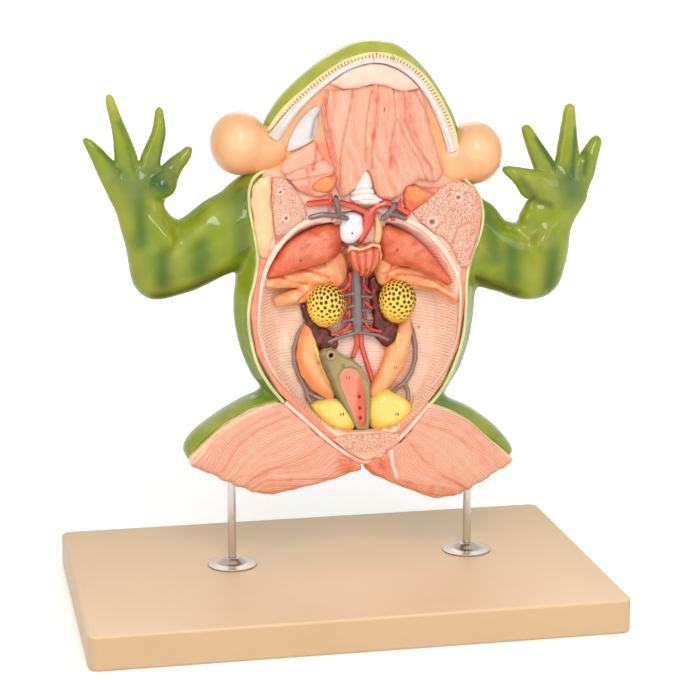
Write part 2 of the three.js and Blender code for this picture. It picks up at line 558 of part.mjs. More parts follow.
// Every carved or moulded organ, as a function of its clearance
const shapes = {
  pelvic_symphysis: (g) => pillow([[-2, 121], [6, 124], [20, 124.3], [34, 124.3], [46, 124], [51, 121],
    [45, 113.5], [36, 107], [28, 103.5], [20, 104.5], [10, 111], [3, 117]],
    { core: [[12, 116], [36, 116]], back: FACE, edge: FACE - 0.8, front: FACE - 2.5, crown: FLAT }, g),
  pelvic_band: (g) => limb([[-36, FACE - 1, 150, 1.5, 1], [-22, FACE - 1, 137, 1.5, 1],
    [-5, FACE - 1, 120.5, 1.5, 1], [11, FACE - 1, 108, 1.5, 1], [24, FACE - 1, 102.5, 1.5, 1],
    [38, FACE - 1, 110.5, 1.5, 1], [53, FACE - 1, 124, 1.5, 1], [71, FACE - 1, 144, 1.5, 1]],
    { sides: 5 }, g),
  left_arch: (g) => limb([[-55, FACE - 1, 205, 0.9, 0.9], [-54, FACE - 1, 226, 1.1, 0.9],
    [-50.5, FACE - 1, 243, 1.6, 1], [-44.5, FACE - 1, 257, 2, 1], [-35, FACE - 1, 270, 2, 1],
    [-23, FACE - 1, 279, 2, 1], [-10, FACE - 1, 282.5, 1.8, 1], [1, FACE - 1, 282.5, 1.4, 1]],
    { sides: 5 }, g),
  right_arch: (g) => limb([[39, FACE - 1, 282.3, 1.4, 1], [52, FACE - 1, 279.5, 1.8, 1],
    [65, FACE - 1, 272.5, 2, 1], [77, FACE - 1, 260.5, 2, 1], [86, FACE - 1, 247.5, 2, 1],
    [92, FACE - 1, 233, 1.6, 1], [94.5, FACE - 1, 215, 1.1, 0.9], [94.5, FACE - 1, 200, 0.9, 0.9]],
    { sides: 5 }, g),
  jaw_rim: (g) => limb([[-46, FACE - 1.2, 346.5, 1.6, 1.1], [-36, FACE - 1.2, 359, 1.6, 1.1],
    [-20, FACE - 1.2, 372.8, 1.6, 1.1], [0, FACE - 1.2, 387.3, 1.6, 1.1], [15, FACE - 1.2, 394.3, 1.6, 1.1],
    [30, FACE - 1.2, 396.6, 1.6, 1.1], [45, FACE - 1.2, 393.5, 1.6, 1.1], [60, FACE - 1.2, 384, 1.7, 1.1],
    [70, FACE - 1.2, 372.5, 1.7, 1.1], [80, FACE - 1.2, 355.5, 1.7, 1.1],
    [88.5, FACE - 1.2, 333, 1.6, 1.1]],
    { sides: 5 }, g),
  jaw_bone: (g) => limb([[-42, FACE - 1.6, 341.5, 4.2, 1.6], [-33, FACE - 1.6, 354, 3.2, 1.6],
    [-22, FACE - 1.6, 365.5, 2.6, 1.6], [-8, FACE - 1.6, 377.3, 2.2, 1.6], [8, FACE - 1.6, 387.5, 2, 1.6],
    [29, FACE - 1.6, 393, 2, 1.6], [45, FACE - 1.6, 389.3, 2.2, 1.6], [58, FACE - 1.6, 380.3, 2.4, 1.6],
    [68, FACE - 1.6, 368, 2.6, 1.6], [76, FACE - 1.6, 353.5, 2.9, 1.6], [85, FACE - 1.6, 329, 3.5, 1.6]],
    { sides: 5 }, g),
  chin_pad: (g) => pillow([[-3, 377.5], [10, 386], [20, 389.5], [30, 390.7], [42, 387.5], [52, 381.5],
    [61, 373], [50, 370.8], [42, 372.5], [31, 377.3], [20, 374.3], [8, 373]],
    { core: [[12, 380], [47, 378]], back: FACE, edge: FACE - 1, front: FACE - 4, crown: FLAT }, g),
  throat_muscles: (g) => pillow([[-6, 373], [8, 372.5], [20, 374], [31, 377], [42, 372], [50, 370.5],
    [60, 372.5], [65.5, 360], [69, 345], [72.5, 331], [77, 318], [78.5, 306], [66, 308.5], [51, 306],
    [48, 295], [36, 294.5], [29, 300], [26, 309], [21.5, 318], [15, 309], [10, 298], [3, 298.5],
    [0, 310], [1, 320], [-4, 330], [-7, 345], [-9, 360]],
    { core: [[18, 360], [20, 340], [34, 322], [62, 318]],
      back: FACE, edge: FACE - 1.5, front: FACE - 6, crown: FLAT, count: 26 }, g),
  left_jaw_plate: (g) => pillow([[-34, 330], [-31, 341], [-25, 352], [-17, 360], [-10, 362.5], [-10, 356],
    [-12, 349], [-13.5, 339], [-20, 335], [-27, 332]],
    { core: [[-26, 339], [-15, 354]], back: FACE, edge: FACE - 0.8, front: FACE - 3 }, g),
  left_neck_muscle: (g) => pillow([[-39, 319], [-33, 328], [-22, 333], [-12, 338], [-11, 328],
    [-5, 322.5], [0, 318], [0, 310], [-2, 302], [-7, 298.5], [-19, 298.5], [-27, 303], [-33, 310]],
    { core: [[-26, 318], [-10, 312]], back: FACE, edge: FACE - 1, front: FACE - 4.5, crown: FLAT }, g),
  left_gland: (g) => pillow([[-17, 304.5], [-12, 311], [-5, 313], [1, 313], [0, 306], [-4, 301.5],
    [-10, 302]],
    { core: [[-11, 306], [-4, 308]], back: FACE, edge: FACE - 3.5, front: FACE - 6.5 }, g),
  right_gland: (g) => pillow([[51, 305.5], [58, 305], [66, 302.5], [76, 302], [70, 295], [61, 288.5],
    [53, 285], [50, 295]],
    { core: [[56, 296], [65, 298]], back: FACE, edge: FACE - 1.5, front: FACE - 4.5 }, g),
  larynx: (g) => join(
    pillow([[21.5, 317], [17.5, 311.5], [14, 304.5], [11, 297], [14, 293.5], [24, 291.5], [34, 293],
      [30, 298], [27, 303], [25.5, 311]],
      { core: [[21, 309], [22, 299]], back: FACE, edge: FACE - 3, front: FACE - 8.5, count: 16 }, g),
    limb([[12.5, FACE - 5, 297, 1.5, 2], [21, FACE - 7, 294.5, 1.8, 2], [32, FACE - 5, 295, 1.5, 2]],
      { sides: 5 }, g)),
  left_shoulder_cartilage: (g) => pillow([[-46, 315], [-55, 311], [-59, 301], [-58.5, 288], [-56.5, 274],
    [-53.5, 257], [-49, 254], [-46.5, 262], [-43.5, 275], [-45.5, 290], [-45.5, 305]],
    { core: [[-52, 305], [-50.5, 265]], back: FACE, edge: FACE - 1, front: FACE - 4 }, g),
  left_shoulder_muscle: (g) => pillow([[-44, 313], [-35, 312], [-28, 304], [-22, 294], [-19.5, 285],
    [-27, 279], [-36, 272], [-42, 264], [-42.5, 275], [-44.5, 290], [-44.5, 303]],
    { core: [[-37, 305], [-34, 280]], back: FACE, edge: FACE - 1, front: FACE - 3.5, crown: FLAT }, g),
  right_shoulder_muscle: (g) => pillow([[56, 285.5], [63, 291.5], [72, 298.5], [80, 304], [90, 306.5],
    [100, 303], [105.5, 296], [107.5, 284], [106, 270], [102, 256], [96.5, 242], [91, 246], [87, 257],
    [82, 264], [72, 270], [63, 277.5]],
    { core: [[72, 285], [94, 290], [97, 258]], back: FACE, edge: FACE - 1, front: FACE - 3.5, crown: FLAT,
      count: 18 }, g),
  atrium: (g) => limb([[11, -3.5, 268.5, 5.8, 4], [12.5, -3.5, 274, 7.5, 4], [13.5, -3.5, 279.5, 5.4, 4]],
    { sides: 10 }, g),
  arterial_trunk: (g) => join(
    limb([[19.5, -2.5, 265.5, 2, 3], [22.5, -2.5, 272, 3.2, 3], [25, -4.5, 279, 4, 3],
      [25, -8, 286, 4, 2.4]],
      { sides: 8 }, g),
    vessel([[24, -8, 286], [15, -8, 290], [5, -8, 293.5], [-6, -8, 294.5], [-19, -8, 293.5]], 2.2, g),
    vessel([[25, -8, 286], [30, -8, 290.5], [37, -8, 292.5], [45, -8, 289.5], [53, -8, 284.5]], 2.2, g)),
  oesophagus: (g) => limb([[31.5, -2, 264, 2.6, 2.6], [33, -2, 270, 3, 2.6], [32.5, -2.5, 277, 2.4, 2.6],
    [31, -3, 281.5, 1.4, 2]], { sides: 5 }, g),
  left_brachial_vein: (g) => join(
    vessel([[-17.5, -8.5, 284], [-9, -9, 286], [0, -9.5, 285], [8.5, -9, 282.5]], 1.5, g),
    vessel([[0, -12, 298], [1.5, -12, 291], [2.5, -10, 285]], 1.8, g)),
  right_brachial_vein: (g) => join(
    vessel([[34.5, -9, 281.5], [38.5, -9.5, 285], [43, -12, 292]], 1.8, g),
    vessel([[39, -9.5, 285], [45, -9, 283.5], [51, -8.5, 281]], 1.5, g)),
  heart: (g) => join(
    pillow([[9.3, 260], [15, 260.5], [22, 262], [28, 263], [33, 260.5], [34, 254], [31, 247], [26.5, 242],
      [21.5, 239.5], [16, 243], [11.5, 249]],
      { core: [[19, 254], [25, 255]], back: 0, edge: -5, front: -14 }, g),
    limb([[10, -6, 260.8, 1.4, 4], [16, -8, 260.6, 1.4, 4.5], [22, -8, 262.3, 1.4, 4.5],
      [28, -8, 263.6, 1.4, 4.5], [32.5, -6, 261.5, 1.4, 4]], { sides: 5 }, g)),
  left_ovary: (g) => ovary("left", g),
  right_ovary: (g) => ovary("right", g),
  left_lung: (g) => pillow([[-49, 240], [-44, 250.5], [-34, 262.5], [-22, 270.5], [-8, 275.5], [6, 276.5],
    [7.5, 266], [3.5, 254.5], [-4, 250.5], [-15, 247.5], [-30, 244]],
    { core: [[-38, 249], [-26, 257], [-4, 263]], back: 9, edge: 1, front: -7, count: 20 }, g),
  right_lung: (g) => pillow([[36, 274.5], [46, 272.5], [59, 266], [71, 254.5], [81, 241.5], [88.5, 230],
    [81, 233], [70, 238.5], [55, 245], [36.5, 250]],
    { core: [[44, 262], [60, 254], [76, 240]], back: 9, edge: 1, front: -7, count: 20 }, g),
  left_fat_body: (g) => join(
    limb([[-48, 1, 236.5, 3, 3], [-36, 6, 237, 4.5, 4], [-20, 9, 238, 6.5, 4.5], [-5, 9, 240, 8, 5.5],
      [5, 8, 244, 6, 5]],
      { sides: 8 }, g),
    limb([[-38, 6.5, 222.5, 2.6, 3], [-28, 8.5, 224, 4, 4], [-15, 10, 228, 7, 4.5], [-3, 10, 233, 8, 5]],
      { sides: 8 }, g)),
  right_fat_body: (g) => limb([[38, 9, 244, 6, 5], [49, 10, 240, 7.5, 5.5], [63, 9, 234.5, 6.5, 5],
    [77, 6, 230.5, 5, 4.5], [90, -1.5, 220, 2.6, 3]], { sides: 8 }, g),
  left_kidney: (g) => limb([[-19, 12, 216, 1.8, 2.4], [-13.5, 12, 204, 4, 4], [-6.5, 12, 194, 7, 5],
    [0, 12, 187, 6.5, 5]],
    { sides: 8 }, g),
  right_kidney: (g) => limb([[32, 12, 234, 3.2, 3], [34, 12, 220, 3.8, 4], [37.5, 12, 207, 5.2, 5],
    [41.5, 12, 195.5, 9, 5.5], [44, 12, 189.5, 6.5, 5]], { sides: 8 }, g),
  left_oviduct: (g) => limb([[-16, 12, 201, 2.4, 3], [-17, 11.5, 192, 5.5, 4.5], [-17, 11, 180, 7.5, 5.5],
    [-14, 11, 169, 7.5, 5.5], [-8, 11, 159, 6, 5], [-1, 11.5, 151, 3.5, 4]], { sides: 8 }, g),
  right_oviduct: (g) => limb([[56.5, 12, 204, 2.4, 3], [55, 11.5, 195, 5, 4.5], [50.5, 11, 183, 7.5, 5.5],
    [46, 11, 171, 7.5, 5.5], [40, 11, 160, 6, 5], [32.5, 11.5, 151, 3.5, 4]], { sides: 8 }, g),
  left_bladder_lobe: (g) => pillow([[-14, 144], [-6, 146], [3, 147], [9, 144], [13, 137], [18, 127.5],
    [16, 123.5], [7, 123.5], [-2, 128], [-9, 136]],
    { core: [[-4, 140], [9, 130]], back: 14.7, edge: 10, front: 3 }, g),
  right_bladder_lobe: (g) => pillow([[29.5, 146], [36, 149], [42, 152], [46, 149.5], [53, 146], [59, 141],
    [60, 134], [55, 127], [46, 122.5], [36, 122], [30, 126], [28.5, 136]],
    { core: [[38, 142], [50, 136], [38, 131]], back: 14.7, edge: 9, front: 2, count: 18 }, g),
  cloaca: (g) => pillow([[-9, 181], [-5, 185.5], [0, 186.5], [4.5, 183], [9, 179.5], [16, 176], [22, 171],
    [26, 164], [28.5, 155], [29.3, 144], [29, 132.5], [27.5, 123.5], [20, 123.5], [15, 131.5], [9, 141.5],
    [3, 152.5], [-2.5, 163.5], [-6.5, 173]],
    { core: [[-1, 180], [10, 166], [18, 152], [23, 130]],
      back: 14.7, edge: 8, front: 4, crown: FLAT, count: 18 }, g),
  cloaca_window: (g) => pillow([[4.5, 165.5], [7, 170], [12, 172], [18, 170.5], [22.5, 165.5], [25, 157],
    [25.5, 145], [25.5, 134], [25, 126.5], [20.5, 126.5], [16, 133.5], [11, 145], [6.5, 156]],
    { core: [[13, 163], [20, 146], [23, 132]], back: 9.5, edge: 7.6, front: 5.6, count: 16 }, g),
  vena_cava: (g) => join(
    limb([[19, 11, 240.5, 2.8, 3], [19.8, 11, 226, 3.7, 3.4], [20.3, 11, 211, 3.8, 3.4],
      [20.5, 11, 197.5, 3.4, 3]],
      { sides: 8 }, g),
    vessel([[-2, 8.2, 190], [4.5, 8, 192.5], [20, 9, 196.3], [35, 7.8, 193.8], [42, 6.4, 190.5]], 1.25, g),
    ...[[223, 30.5], [213, 29.5], [205, 31]].map(([z, x]) => vessel([[22, 9.6, z], [x, 9, z - 1.5]],
      0.9, g)),
    ...[[225, 9], [216, 9.5], [206, 8.5]].map(([z, x]) => vessel([[18, 9.6, z], [x, 9, z - 1.5]], 0.9, g))),
  dorsal_aorta: (g) => join(
    vessel([[15.3, 13, 240], [15, 13, 222], [15, 13, 208], [13.5, 13, 199.5], [7, 13, 195.5]], 1.35, g),
    vessel([[25.2, 13, 238], [25.6, 13, 222], [25.6, 13, 208], [27.5, 13, 200], [33, 13, 196]], 1.35, g),
    vessel([[13.5, 13, 199.5], [20.5, 13, 199], [27.5, 13, 200]], 1.35, g),
    vessel([[19.5, 13, 199], [20.6, 12.8, 187], [17.5, 12.8, 177.5]], 1.5, g),
    vessel([[23, 13, 199], [24, 12.8, 185], [27, 12.8, 175], [30.5, 12.8, 164], [33.5, 12.8, 155]],
      1.5, g)),
  left_lateral_vein: (g) => join(
    vessel([[-17.5, 12.8, 203.5], [-23, 12.8, 195.5], [-26.2, 12.8, 185], [-25.5, 12.8, 174],
      [-22, 12.8, 164], [-17, 12.8, 154]], 1.4, g),
    vessel([[-17, 12.8, 154], [-16.5, 12, 149.5], [-13.5, 10, 145]], 1.2, g),
    vessel([[-17, 12.8, 154], [-12, 12, 150], [-5, 10, 147]], 1.2, g)),
  right_lateral_vein: (g) => join(
    vessel([[58, 12.8, 204.5], [61.5, 12.8, 195], [64, 12.8, 184], [64, 12.8, 174], [61, 12.8, 163.5],
      [56, 12.8, 156]], 1.4, g),
    vessel([[56, 12.8, 156], [50.5, 12, 153], [45.5, 9, 149.5]], 1.2, g),
    vessel([[56, 12.8, 156], [58.5, 12, 150], [58, 9, 144]], 1.2, g)),
};

// An ovary: an egg with a flat back, broader at the top
function ovary(side, grow) {
  const { x, y, z, halfWidth, halfHeight } = OVARIES[side];
  const egg = new THREE.SphereGeometry(1, 11, 8);
  const position = egg.getAttribute("position");
  for (let i = 0; i < position.count; i++) {
    const up = position.getY(i);
    position.setX(i, position.getX(i) * (1 + 0.08 * up));
    position.setZ(i, position.getZ(i) * (1 + 0.08 * up));
  }
  egg.rotateX(Math.PI / 2).scale(halfWidth + grow, 11 + grow, halfHeight + grow).translate(x, y, z);
  return solid(egg).intersect(slab(-30, OVARY_BACK_Y + grow));
}

// A shape less the grown shapes of the pieces that lie over it
const fitted = (name, ...over) => cut(shapes[name](0), ...over.map((other) => shapes[other](GAP)));

// Limbs and girdles on the cut face
piece("pelvic_symphysis", sponge, fitted("pelvic_symphysis", "pelvic_band"));
for (const [side, thigh] of thighs) {
  const girdle = [shapes.pelvic_band(GAP), shapes.pelvic_symphysis(GAP)];
  piece(`${side}_thigh_muscle`, flesh, cut(thighMuscle(thigh), trunkGrown, ...girdle));
}
piece("pelvic_band", paleFlesh, shapes.pelvic_band(0));
piece("left_arch", paleFlesh, shapes.left_arch(0));
piece("right_arch", paleFlesh, shapes.right_arch(0));
piece("left_shoulder_cartilage", paleFlesh, fitted("left_shoulder_cartilage", "left_arch"));
piece("left_shoulder_muscle", sponge, fitted("left_shoulder_muscle", "left_arch",
  "left_shoulder_cartilage", "left_neck_muscle"));
piece("right_shoulder_muscle", sponge, fitted("right_shoulder_muscle", "right_arch", "right_gland"));

// Jaw and throat
piece("jaw_bone", bone, shapes.jaw_bone(0));
for (const side of ["left", "right"]) {
  const jaw = [shapes.jaw_bone(GAP), shapes.jaw_rim(GAP)];
  piece(`${side}_vocal_sac`, sacPeach, cut(sac(side), trunk(-GAP), ...jaw));
}
piece("jaw_rim", gumYellow, fitted("jaw_rim", "jaw_bone"));
piece("chin_pad", paleFlesh, fitted("chin_pad", "jaw_bone"));
piece("left_jaw_plate", bone, shapes.left_jaw_plate(0));
piece("larynx", bone, fitted("larynx", "arterial_trunk"));
piece("throat_muscles", flesh, fitted("throat_muscles", "jaw_bone", "chin_pad", "larynx", "right_gland",
  "arterial_trunk", "left_jaw_plate"));
piece("left_neck_muscle", flesh, fitted("left_neck_muscle", "left_jaw_plate", "throat_muscles", "left_gland",
  "arterial_trunk", "left_brachial_vein"));
piece("left_gland", glandOrange, fitted("left_gland", "throat_muscles", "arterial_trunk",
  "left_brachial_vein"));
piece("right_gland", glandOrange, fitted("right_gland", "arterial_trunk"));

// Heart and great vessels; the heart leaves straight forwards through its own corridor
const heartWay = join(shapes.heart(0.4), shapes.heart(0.4).translate(0, -6, 0));
const heartPegHole = peg(HEART_PEG.radius + GAP, HEART_PEG.tip - 1, 20, HEART_PEG.x, HEART_PEG.z);
piece("heart", heartRed, cut(shapes.heart(0), heartPegHole));
piece("atrium", atriumWhite, cut(fitted("atrium", "left_brachial_vein"), heartWay));
const trunkOfArteries = fitted("arterial_trunk", "atrium", "left_brachial_vein", "right_brachial_vein");
piece("arterial_trunk", arteryRed, cut(trunkOfArteries, heartWay));
piece("oesophagus", paleFlesh, cut(fitted("oesophagus", "arterial_trunk", "right_brachial_vein"), heartWay));
piece("left_brachial_vein", veinGrey, shapes.left_brachial_vein(0));
piece("right_brachial_vein", veinGrey, shapes.right_brachial_vein(0));

// Belly organs rest against the wall and floor of the hollow
const inBelly = (shape) => shape.intersect(bellySpace);
const pillarSpace = pillarPrism(PILLAR_FRONT_Y - GAP, 20, GAP);
piece("left_lung", lungRed, inBelly(cut(fitted("left_lung", "atrium"), heartWay, pillarSpace)));
piece("right_lung", lungRed, inBelly(cut(fitted("right_lung", "oesophagus"), heartWay, pillarSpace)));
const heartPostSpace = peg(HEART_POST_RADIUS + GAP, -20, 20, HEART_PEG.x, HEART_PEG.z);
const ovaryPostSpace = (side) => peg(POST_RADIUS + GAP, -20, 20, OVARIES[side].pegX, OVARIES[side].pegZ);
for (const side of ["left", "right"]) {
  const pegHole = peg(PEG_RADIUS + GAP, -1, 20, OVARIES[side].pegX, OVARIES[side].pegZ);
  piece(`${side}_ovary`, ovaryYellow, cut(shapes[`${side}_ovary`](0), pegHole));
}
for (const side of ["left", "right"]) {
  const over = [`${side}_lung`, `${side}_ovary`, `${side}_kidney`, "vena_cava", "dorsal_aorta"];
  const mountings = [heartWay, heartPostSpace, ovaryPostSpace(side), pillarSpace];
  piece(`${side}_fat_body`, fatOrange, inBelly(cut(fitted(`${side}_fat_body`, ...over), ...mountings)));
  const kidney = fitted(`${side}_kidney`, "vena_cava", "dorsal_aorta", `${side}_ovary`, "cloaca");
  piece(`${side}_kidney`, kidneyBrown, inBelly(cut(kidney, ovaryPostSpace(side))));
  const beside = [`${side}_kidney`, `${side}_lateral_vein`, `${side}_ovary`, "cloaca", "dorsal_aorta"];
  piece(`${side}_oviduct`, ductOrange, inBelly(fitted(`${side}_oviduct`, ...beside)));
  const lateral = fitted(`${side}_lateral_vein`, `${side}_kidney`, `${side}_bladder_lobe`, `${side}_ovary`);
  piece(`${side}_lateral_vein`, veinGrey, inBelly(lateral));
  const lobe = fitted(`${side}_bladder_lobe`, "cloaca", `${side}_oviduct`);
  piece(`${side}_bladder_lobe`, bladderYellow, inBelly(lobe));
}

// Cloaca with the cut end of the rectum on it and a window onto its lining
const RECTUM = { x: -1, z: 181.5, outer: 3.6, inner: 2, front: 2 };
const rectumWall = peg(RECTUM.outer, RECTUM.front, 10, RECTUM.x, RECTUM.z, 12);
const rectumBore = peg(RECTUM.inner, 0, 9, RECTUM.x, RECTUM.z);
const window = join(shapes.cloaca_window(GAP), shapes.cloaca_window(GAP).translate(0, -4, 0));
piece("cloaca", cloacaOlive, inBelly(cut(join(shapes.cloaca(0), rectumWall), rectumBore, window)));
piece("cloaca_lining", flesh, inBelly(shapes.cloaca_window(0)));
piece("vena_cava", veinGrey, inBelly(cut(fitted("vena_cava", "dorsal_aorta"), heartPostSpace)));
piece("dorsal_aorta", arteryRed, inBelly(cut(fitted("dorsal_aorta", "cloaca"), heartPostSpace)));

export default model;
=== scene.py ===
import math

import bpy
import numpy as np
from mathutils import Matrix, Vector
from mathutils.bvhtree import BVHTree


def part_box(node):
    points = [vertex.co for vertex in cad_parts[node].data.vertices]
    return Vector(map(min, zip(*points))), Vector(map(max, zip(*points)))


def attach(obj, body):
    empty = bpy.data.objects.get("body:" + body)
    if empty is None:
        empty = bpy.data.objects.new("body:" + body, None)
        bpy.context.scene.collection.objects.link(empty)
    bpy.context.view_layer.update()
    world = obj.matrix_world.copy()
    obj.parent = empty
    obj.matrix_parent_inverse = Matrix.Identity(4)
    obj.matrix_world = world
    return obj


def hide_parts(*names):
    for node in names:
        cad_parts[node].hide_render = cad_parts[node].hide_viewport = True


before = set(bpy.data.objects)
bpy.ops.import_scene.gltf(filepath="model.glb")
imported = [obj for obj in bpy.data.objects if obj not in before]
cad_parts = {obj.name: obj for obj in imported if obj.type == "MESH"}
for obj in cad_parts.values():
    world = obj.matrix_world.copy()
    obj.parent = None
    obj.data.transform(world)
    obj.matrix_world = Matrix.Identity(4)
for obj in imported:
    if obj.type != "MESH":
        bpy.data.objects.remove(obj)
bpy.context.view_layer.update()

MM = 0.001

# Camera
# The model is seen from a little to the left of its middle and from above, by a long lens.
CAMERA_PLACE = (-0.2925, -1.4770, 0.5194)
CAMERA_PITCH = 77.51
CAMERA_YAW = -11.67
LENS = 110.39
SENSOR_WIDTH = 36

bpy.ops.object.camera_add(
    location=CAMERA_PLACE, rotation=(math.radians(CAMERA_PITCH), 0, math.radians(CAMERA_YAW))
)
camera = bpy.context.object
camera.data.lens = LENS
camera.data.sensor_width = SENSOR_WIDTH
bpy.context.scene.camera = camera
bpy.context.scene.view_settings.view_transform = "Standard"

# Studio
# A white table and backdrop, a tall soft box above the camera, a weaker lamp on either side and
# one behind the model.
WORLD_LIGHT = 0.55
TABLE_SIZE = 40
TABLE_DROP = 0.0003
GLOW_START, GLOW_END = 0.25, 1.4
GLOW_LOW, GLOW_HIGH = 0.31, 0.62
LAMP_TARGET = Vector((0, 0, 0.2))


def linear(hex_color):
    """A colour written as sRGB hex, as Blender's linear values."""
    values = [int(hex_color[i : i + 2], 16) / 255 for i in (1, 3, 5)]
    return [v / 12.92 if v <= 0.04045 else ((v + 0.055) / 1.055) ** 2.4 for v in values] + [1]


def add_node(tree, kind, links=None, stops=(), **settings):
    """A shader node with its settings; its inputs are filled or linked, and its ramp gets stops."""
    new = tree.nodes.new("ShaderNode" + kind)
    for name, value in settings.items():
        setattr(new, name, value)
    for name, value in (links or {}).items():
        if isinstance(value, bpy.types.NodeSocket):
            tree.links.new(value, new.inputs[name])
        else:
            new.inputs[name].default_value = value
    for i, (place, color) in enumerate(stops):
        element = new.color_ramp.elements[i] if i < 2 else new.color_ramp.elements.new(place)
        element.position = place
        element.color = linear(color)
    return new


def combined(tree, operation, *values):
    """The result of a Math node on numbers and sockets."""
    return add_node(tree, "Math", dict(enumerate(values)), operation=operation).outputs[0]


def mapped(tree, value, start, end, low=0.0, high=1.0):
    """A value brought from the range start to end into the range low to high, and held in it."""
    settings = {"Value": value, "From Min": start, "From Max": end, "To Min": low, "To Max": high}
    return add_node(tree, "MapRange", settings).outputs["Result"]


def sees_background(tree):
    """1 for rays from the camera and for those that metal or glass sends on, and 0 for light."""
    path = add_node(tree, "LightPath").outputs
    mirrored = combined(tree, "MAXIMUM", path["Is Glossy Ray"], path["Is Transmission Ray"])
    return combined(tree, "MAXIMUM", path["Is Camera Ray"], mirrored)


world = bpy.data.worlds.new("studio")
bpy.context.scene.world = world
world.use_nodes = True
tree = world.node_tree
tree.nodes.clear()
seen = sees_background(tree)
soft = add_node(tree, "Background", {"Color": linear("#FFFBF6"), "Strength": WORLD_LIGHT})
white = add_node(tree, "Background", {"Color": linear("#FFFFFF"), "Strength": 1.0})
blend = add_node(tree, "MixShader", {"Fac": seen, 1: soft.outputs[0], 2: white.outputs[0]})
add_node(tree, "OutputWorld", {"Surface": blend.outputs[0]})

bpy.ops.mesh.primitive_plane_add(size=TABLE_SIZE, location=(0, 0, -TABLE_DROP))
floor = bpy.context.object
floor.name = "floor"
table_white = bpy.data.materials.new("white_table")
table_white.use_nodes = True
tree = table_white.node_tree
sockets = tree.nodes["Principled BSDF"].inputs
sockets["Base Color"].default_value = linear("#F7F7F7")
sockets["Roughness"].default_value = 0.9
sockets["Emission Color"].default_value = (1, 1, 1, 1)
place = add_node(tree, "TexCoord").outputs["Object"]
far = add_node(tree, "VectorMath", {0: place}, operation="LENGTH").outputs["Value"]
glow = mapped(tree, far, GLOW_START, GLOW_END, GLOW_LOW, GLOW_HIGH)
tree.links.new(combined(tree, "MULTIPLY", sees_background(tree), glow), sockets["Emission Strength"])
floor.data.materials.append(table_white)

LAMPS = [
    ("soft_box", (-0.15, -1.95, 1.65), 0.66, 1.16, 21.5),
    ("left_lamp", (-1.6, -1.4, 0.9), 0.5, 1.0, 6),
    ("right_lamp", (1.5, -1.5, 0.8), 0.5, 1.0, 4),
    ("back_lamp", (0.3, 1.8, 1.5), 1.2, 1.2, 6),
]
for name, place, wide, tall, power in LAMPS:
    aim = (LAMP_TARGET - Vector(place)).to_track_quat("-Z", "Y").to_euler()
    bpy.ops.object.light_add(type="AREA", location=place, rotation=aim)
    lamp = bpy.context.object
    lamp.name = name
    lamp.data.shape = "RECTANGLE"
    lamp.data.size = wide
    lamp.data.size_y = tall
    lamp.data.energy = power

# Board
# A block of fibreboard with rounded corners, sprayed all over with a cream lacquer that has a
# faint orange peel. Two counterbored holes take the rods; the front is bare.
BOARD_CORNER = 5 * MM
BOARD_EDGE = 2.2 * MM
ROD_RADIUS = 3 * MM
ROD_CLEARANCE = 0.3 * MM
COUNTERBORE_RADIUS = 8 * MM
COUNTERBORE_DEPTH = 8 * MM
DRILL_REACH = 0.01


def active(piece):
    """Makes a piece the only selected and active object."""
    bpy.ops.object.select_all(action="DESELECT")
    piece.select_set(True)
    bpy.context.view_layer.objects.active = piece


def apply_modifier(piece, kind, **settings):
    """Adds a modifier with its settings and applies it at once."""
    active(piece)
    modifier = piece.modifiers.new(kind.lower(), kind)
    for name, value in settings.items():
        setattr(modifier, name, value)
    bpy.ops.object.modifier_apply(modifier=modifier.name)


def settled(piece):
    """Puts a piece's place, turn and scale into its mesh."""
    active(piece)
    bpy.ops.object.transform_apply(location=True, rotation=True, scale=True)


def seat(piece, name, body, slot, *nodes):
    """Settles and smooths a finished piece, and gives it to its body."""
    settled(piece)
    bpy.ops.object.shade_smooth()
    piece.name = name
    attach(piece, body)
    if nodes:
        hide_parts(*nodes)


def bevelled(piece, offset, segments, chosen):
    """Bevels those edges of a piece whose two end points pass the test."""
    active(piece)
    bpy.ops.object.mode_set(mode="EDIT")
    bpy.ops.mesh.select_mode(type="EDGE")
    bpy.ops.mesh.select_all(action="DESELECT")
    bpy.ops.object.mode_set(mode="OBJECT")
    points = piece.data.vertices
    for edge in piece.data.edges:
        edge.select = chosen(points[edge.vertices[0]].co, points[edge.vertices[1]].co)
    bpy.ops.object.mode_set(mode="EDIT")
    bpy.ops.mesh.bevel(offset=offset, segments=segments, affect="EDGES")
    bpy.ops.object.mode_set(mode="OBJECT")


low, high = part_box("base_board")
bpy.ops.mesh.primitive_cube_add(size=1, location=(low + high) / 2, scale=high - low)
board = bpy.context.object
settled(board)
bevelled(board, BOARD_CORNER + BOARD_EDGE, 8, lambda a, b: abs(a.z - b.z) > BOARD_CORNER)
bevelled(board, BOARD_EDGE, 5, lambda a, b: abs(a.z - b.z) < MM)
for side in ("left", "right"):
    rod_low, rod_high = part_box(f"{side}_rod")
    middle = (rod_low + rod_high) / 2
    for radius, bottom, top in (
        (ROD_RADIUS + ROD_CLEARANCE, -DRILL_REACH, high.z + DRILL_REACH),
        (COUNTERBORE_RADIUS, -DRILL_REACH, COUNTERBORE_DEPTH),
    ):
        bpy.ops.mesh.primitive_cylinder_add(
            vertices=40, radius=radius, depth=top - bottom, location=(middle.x, middle.y, (top + bottom) / 2)
        )
        drill = bpy.context.object
        apply_modifier(board, "BOOLEAN", object=drill, operation="DIFFERENCE")
        bpy.data.objects.remove(drill)


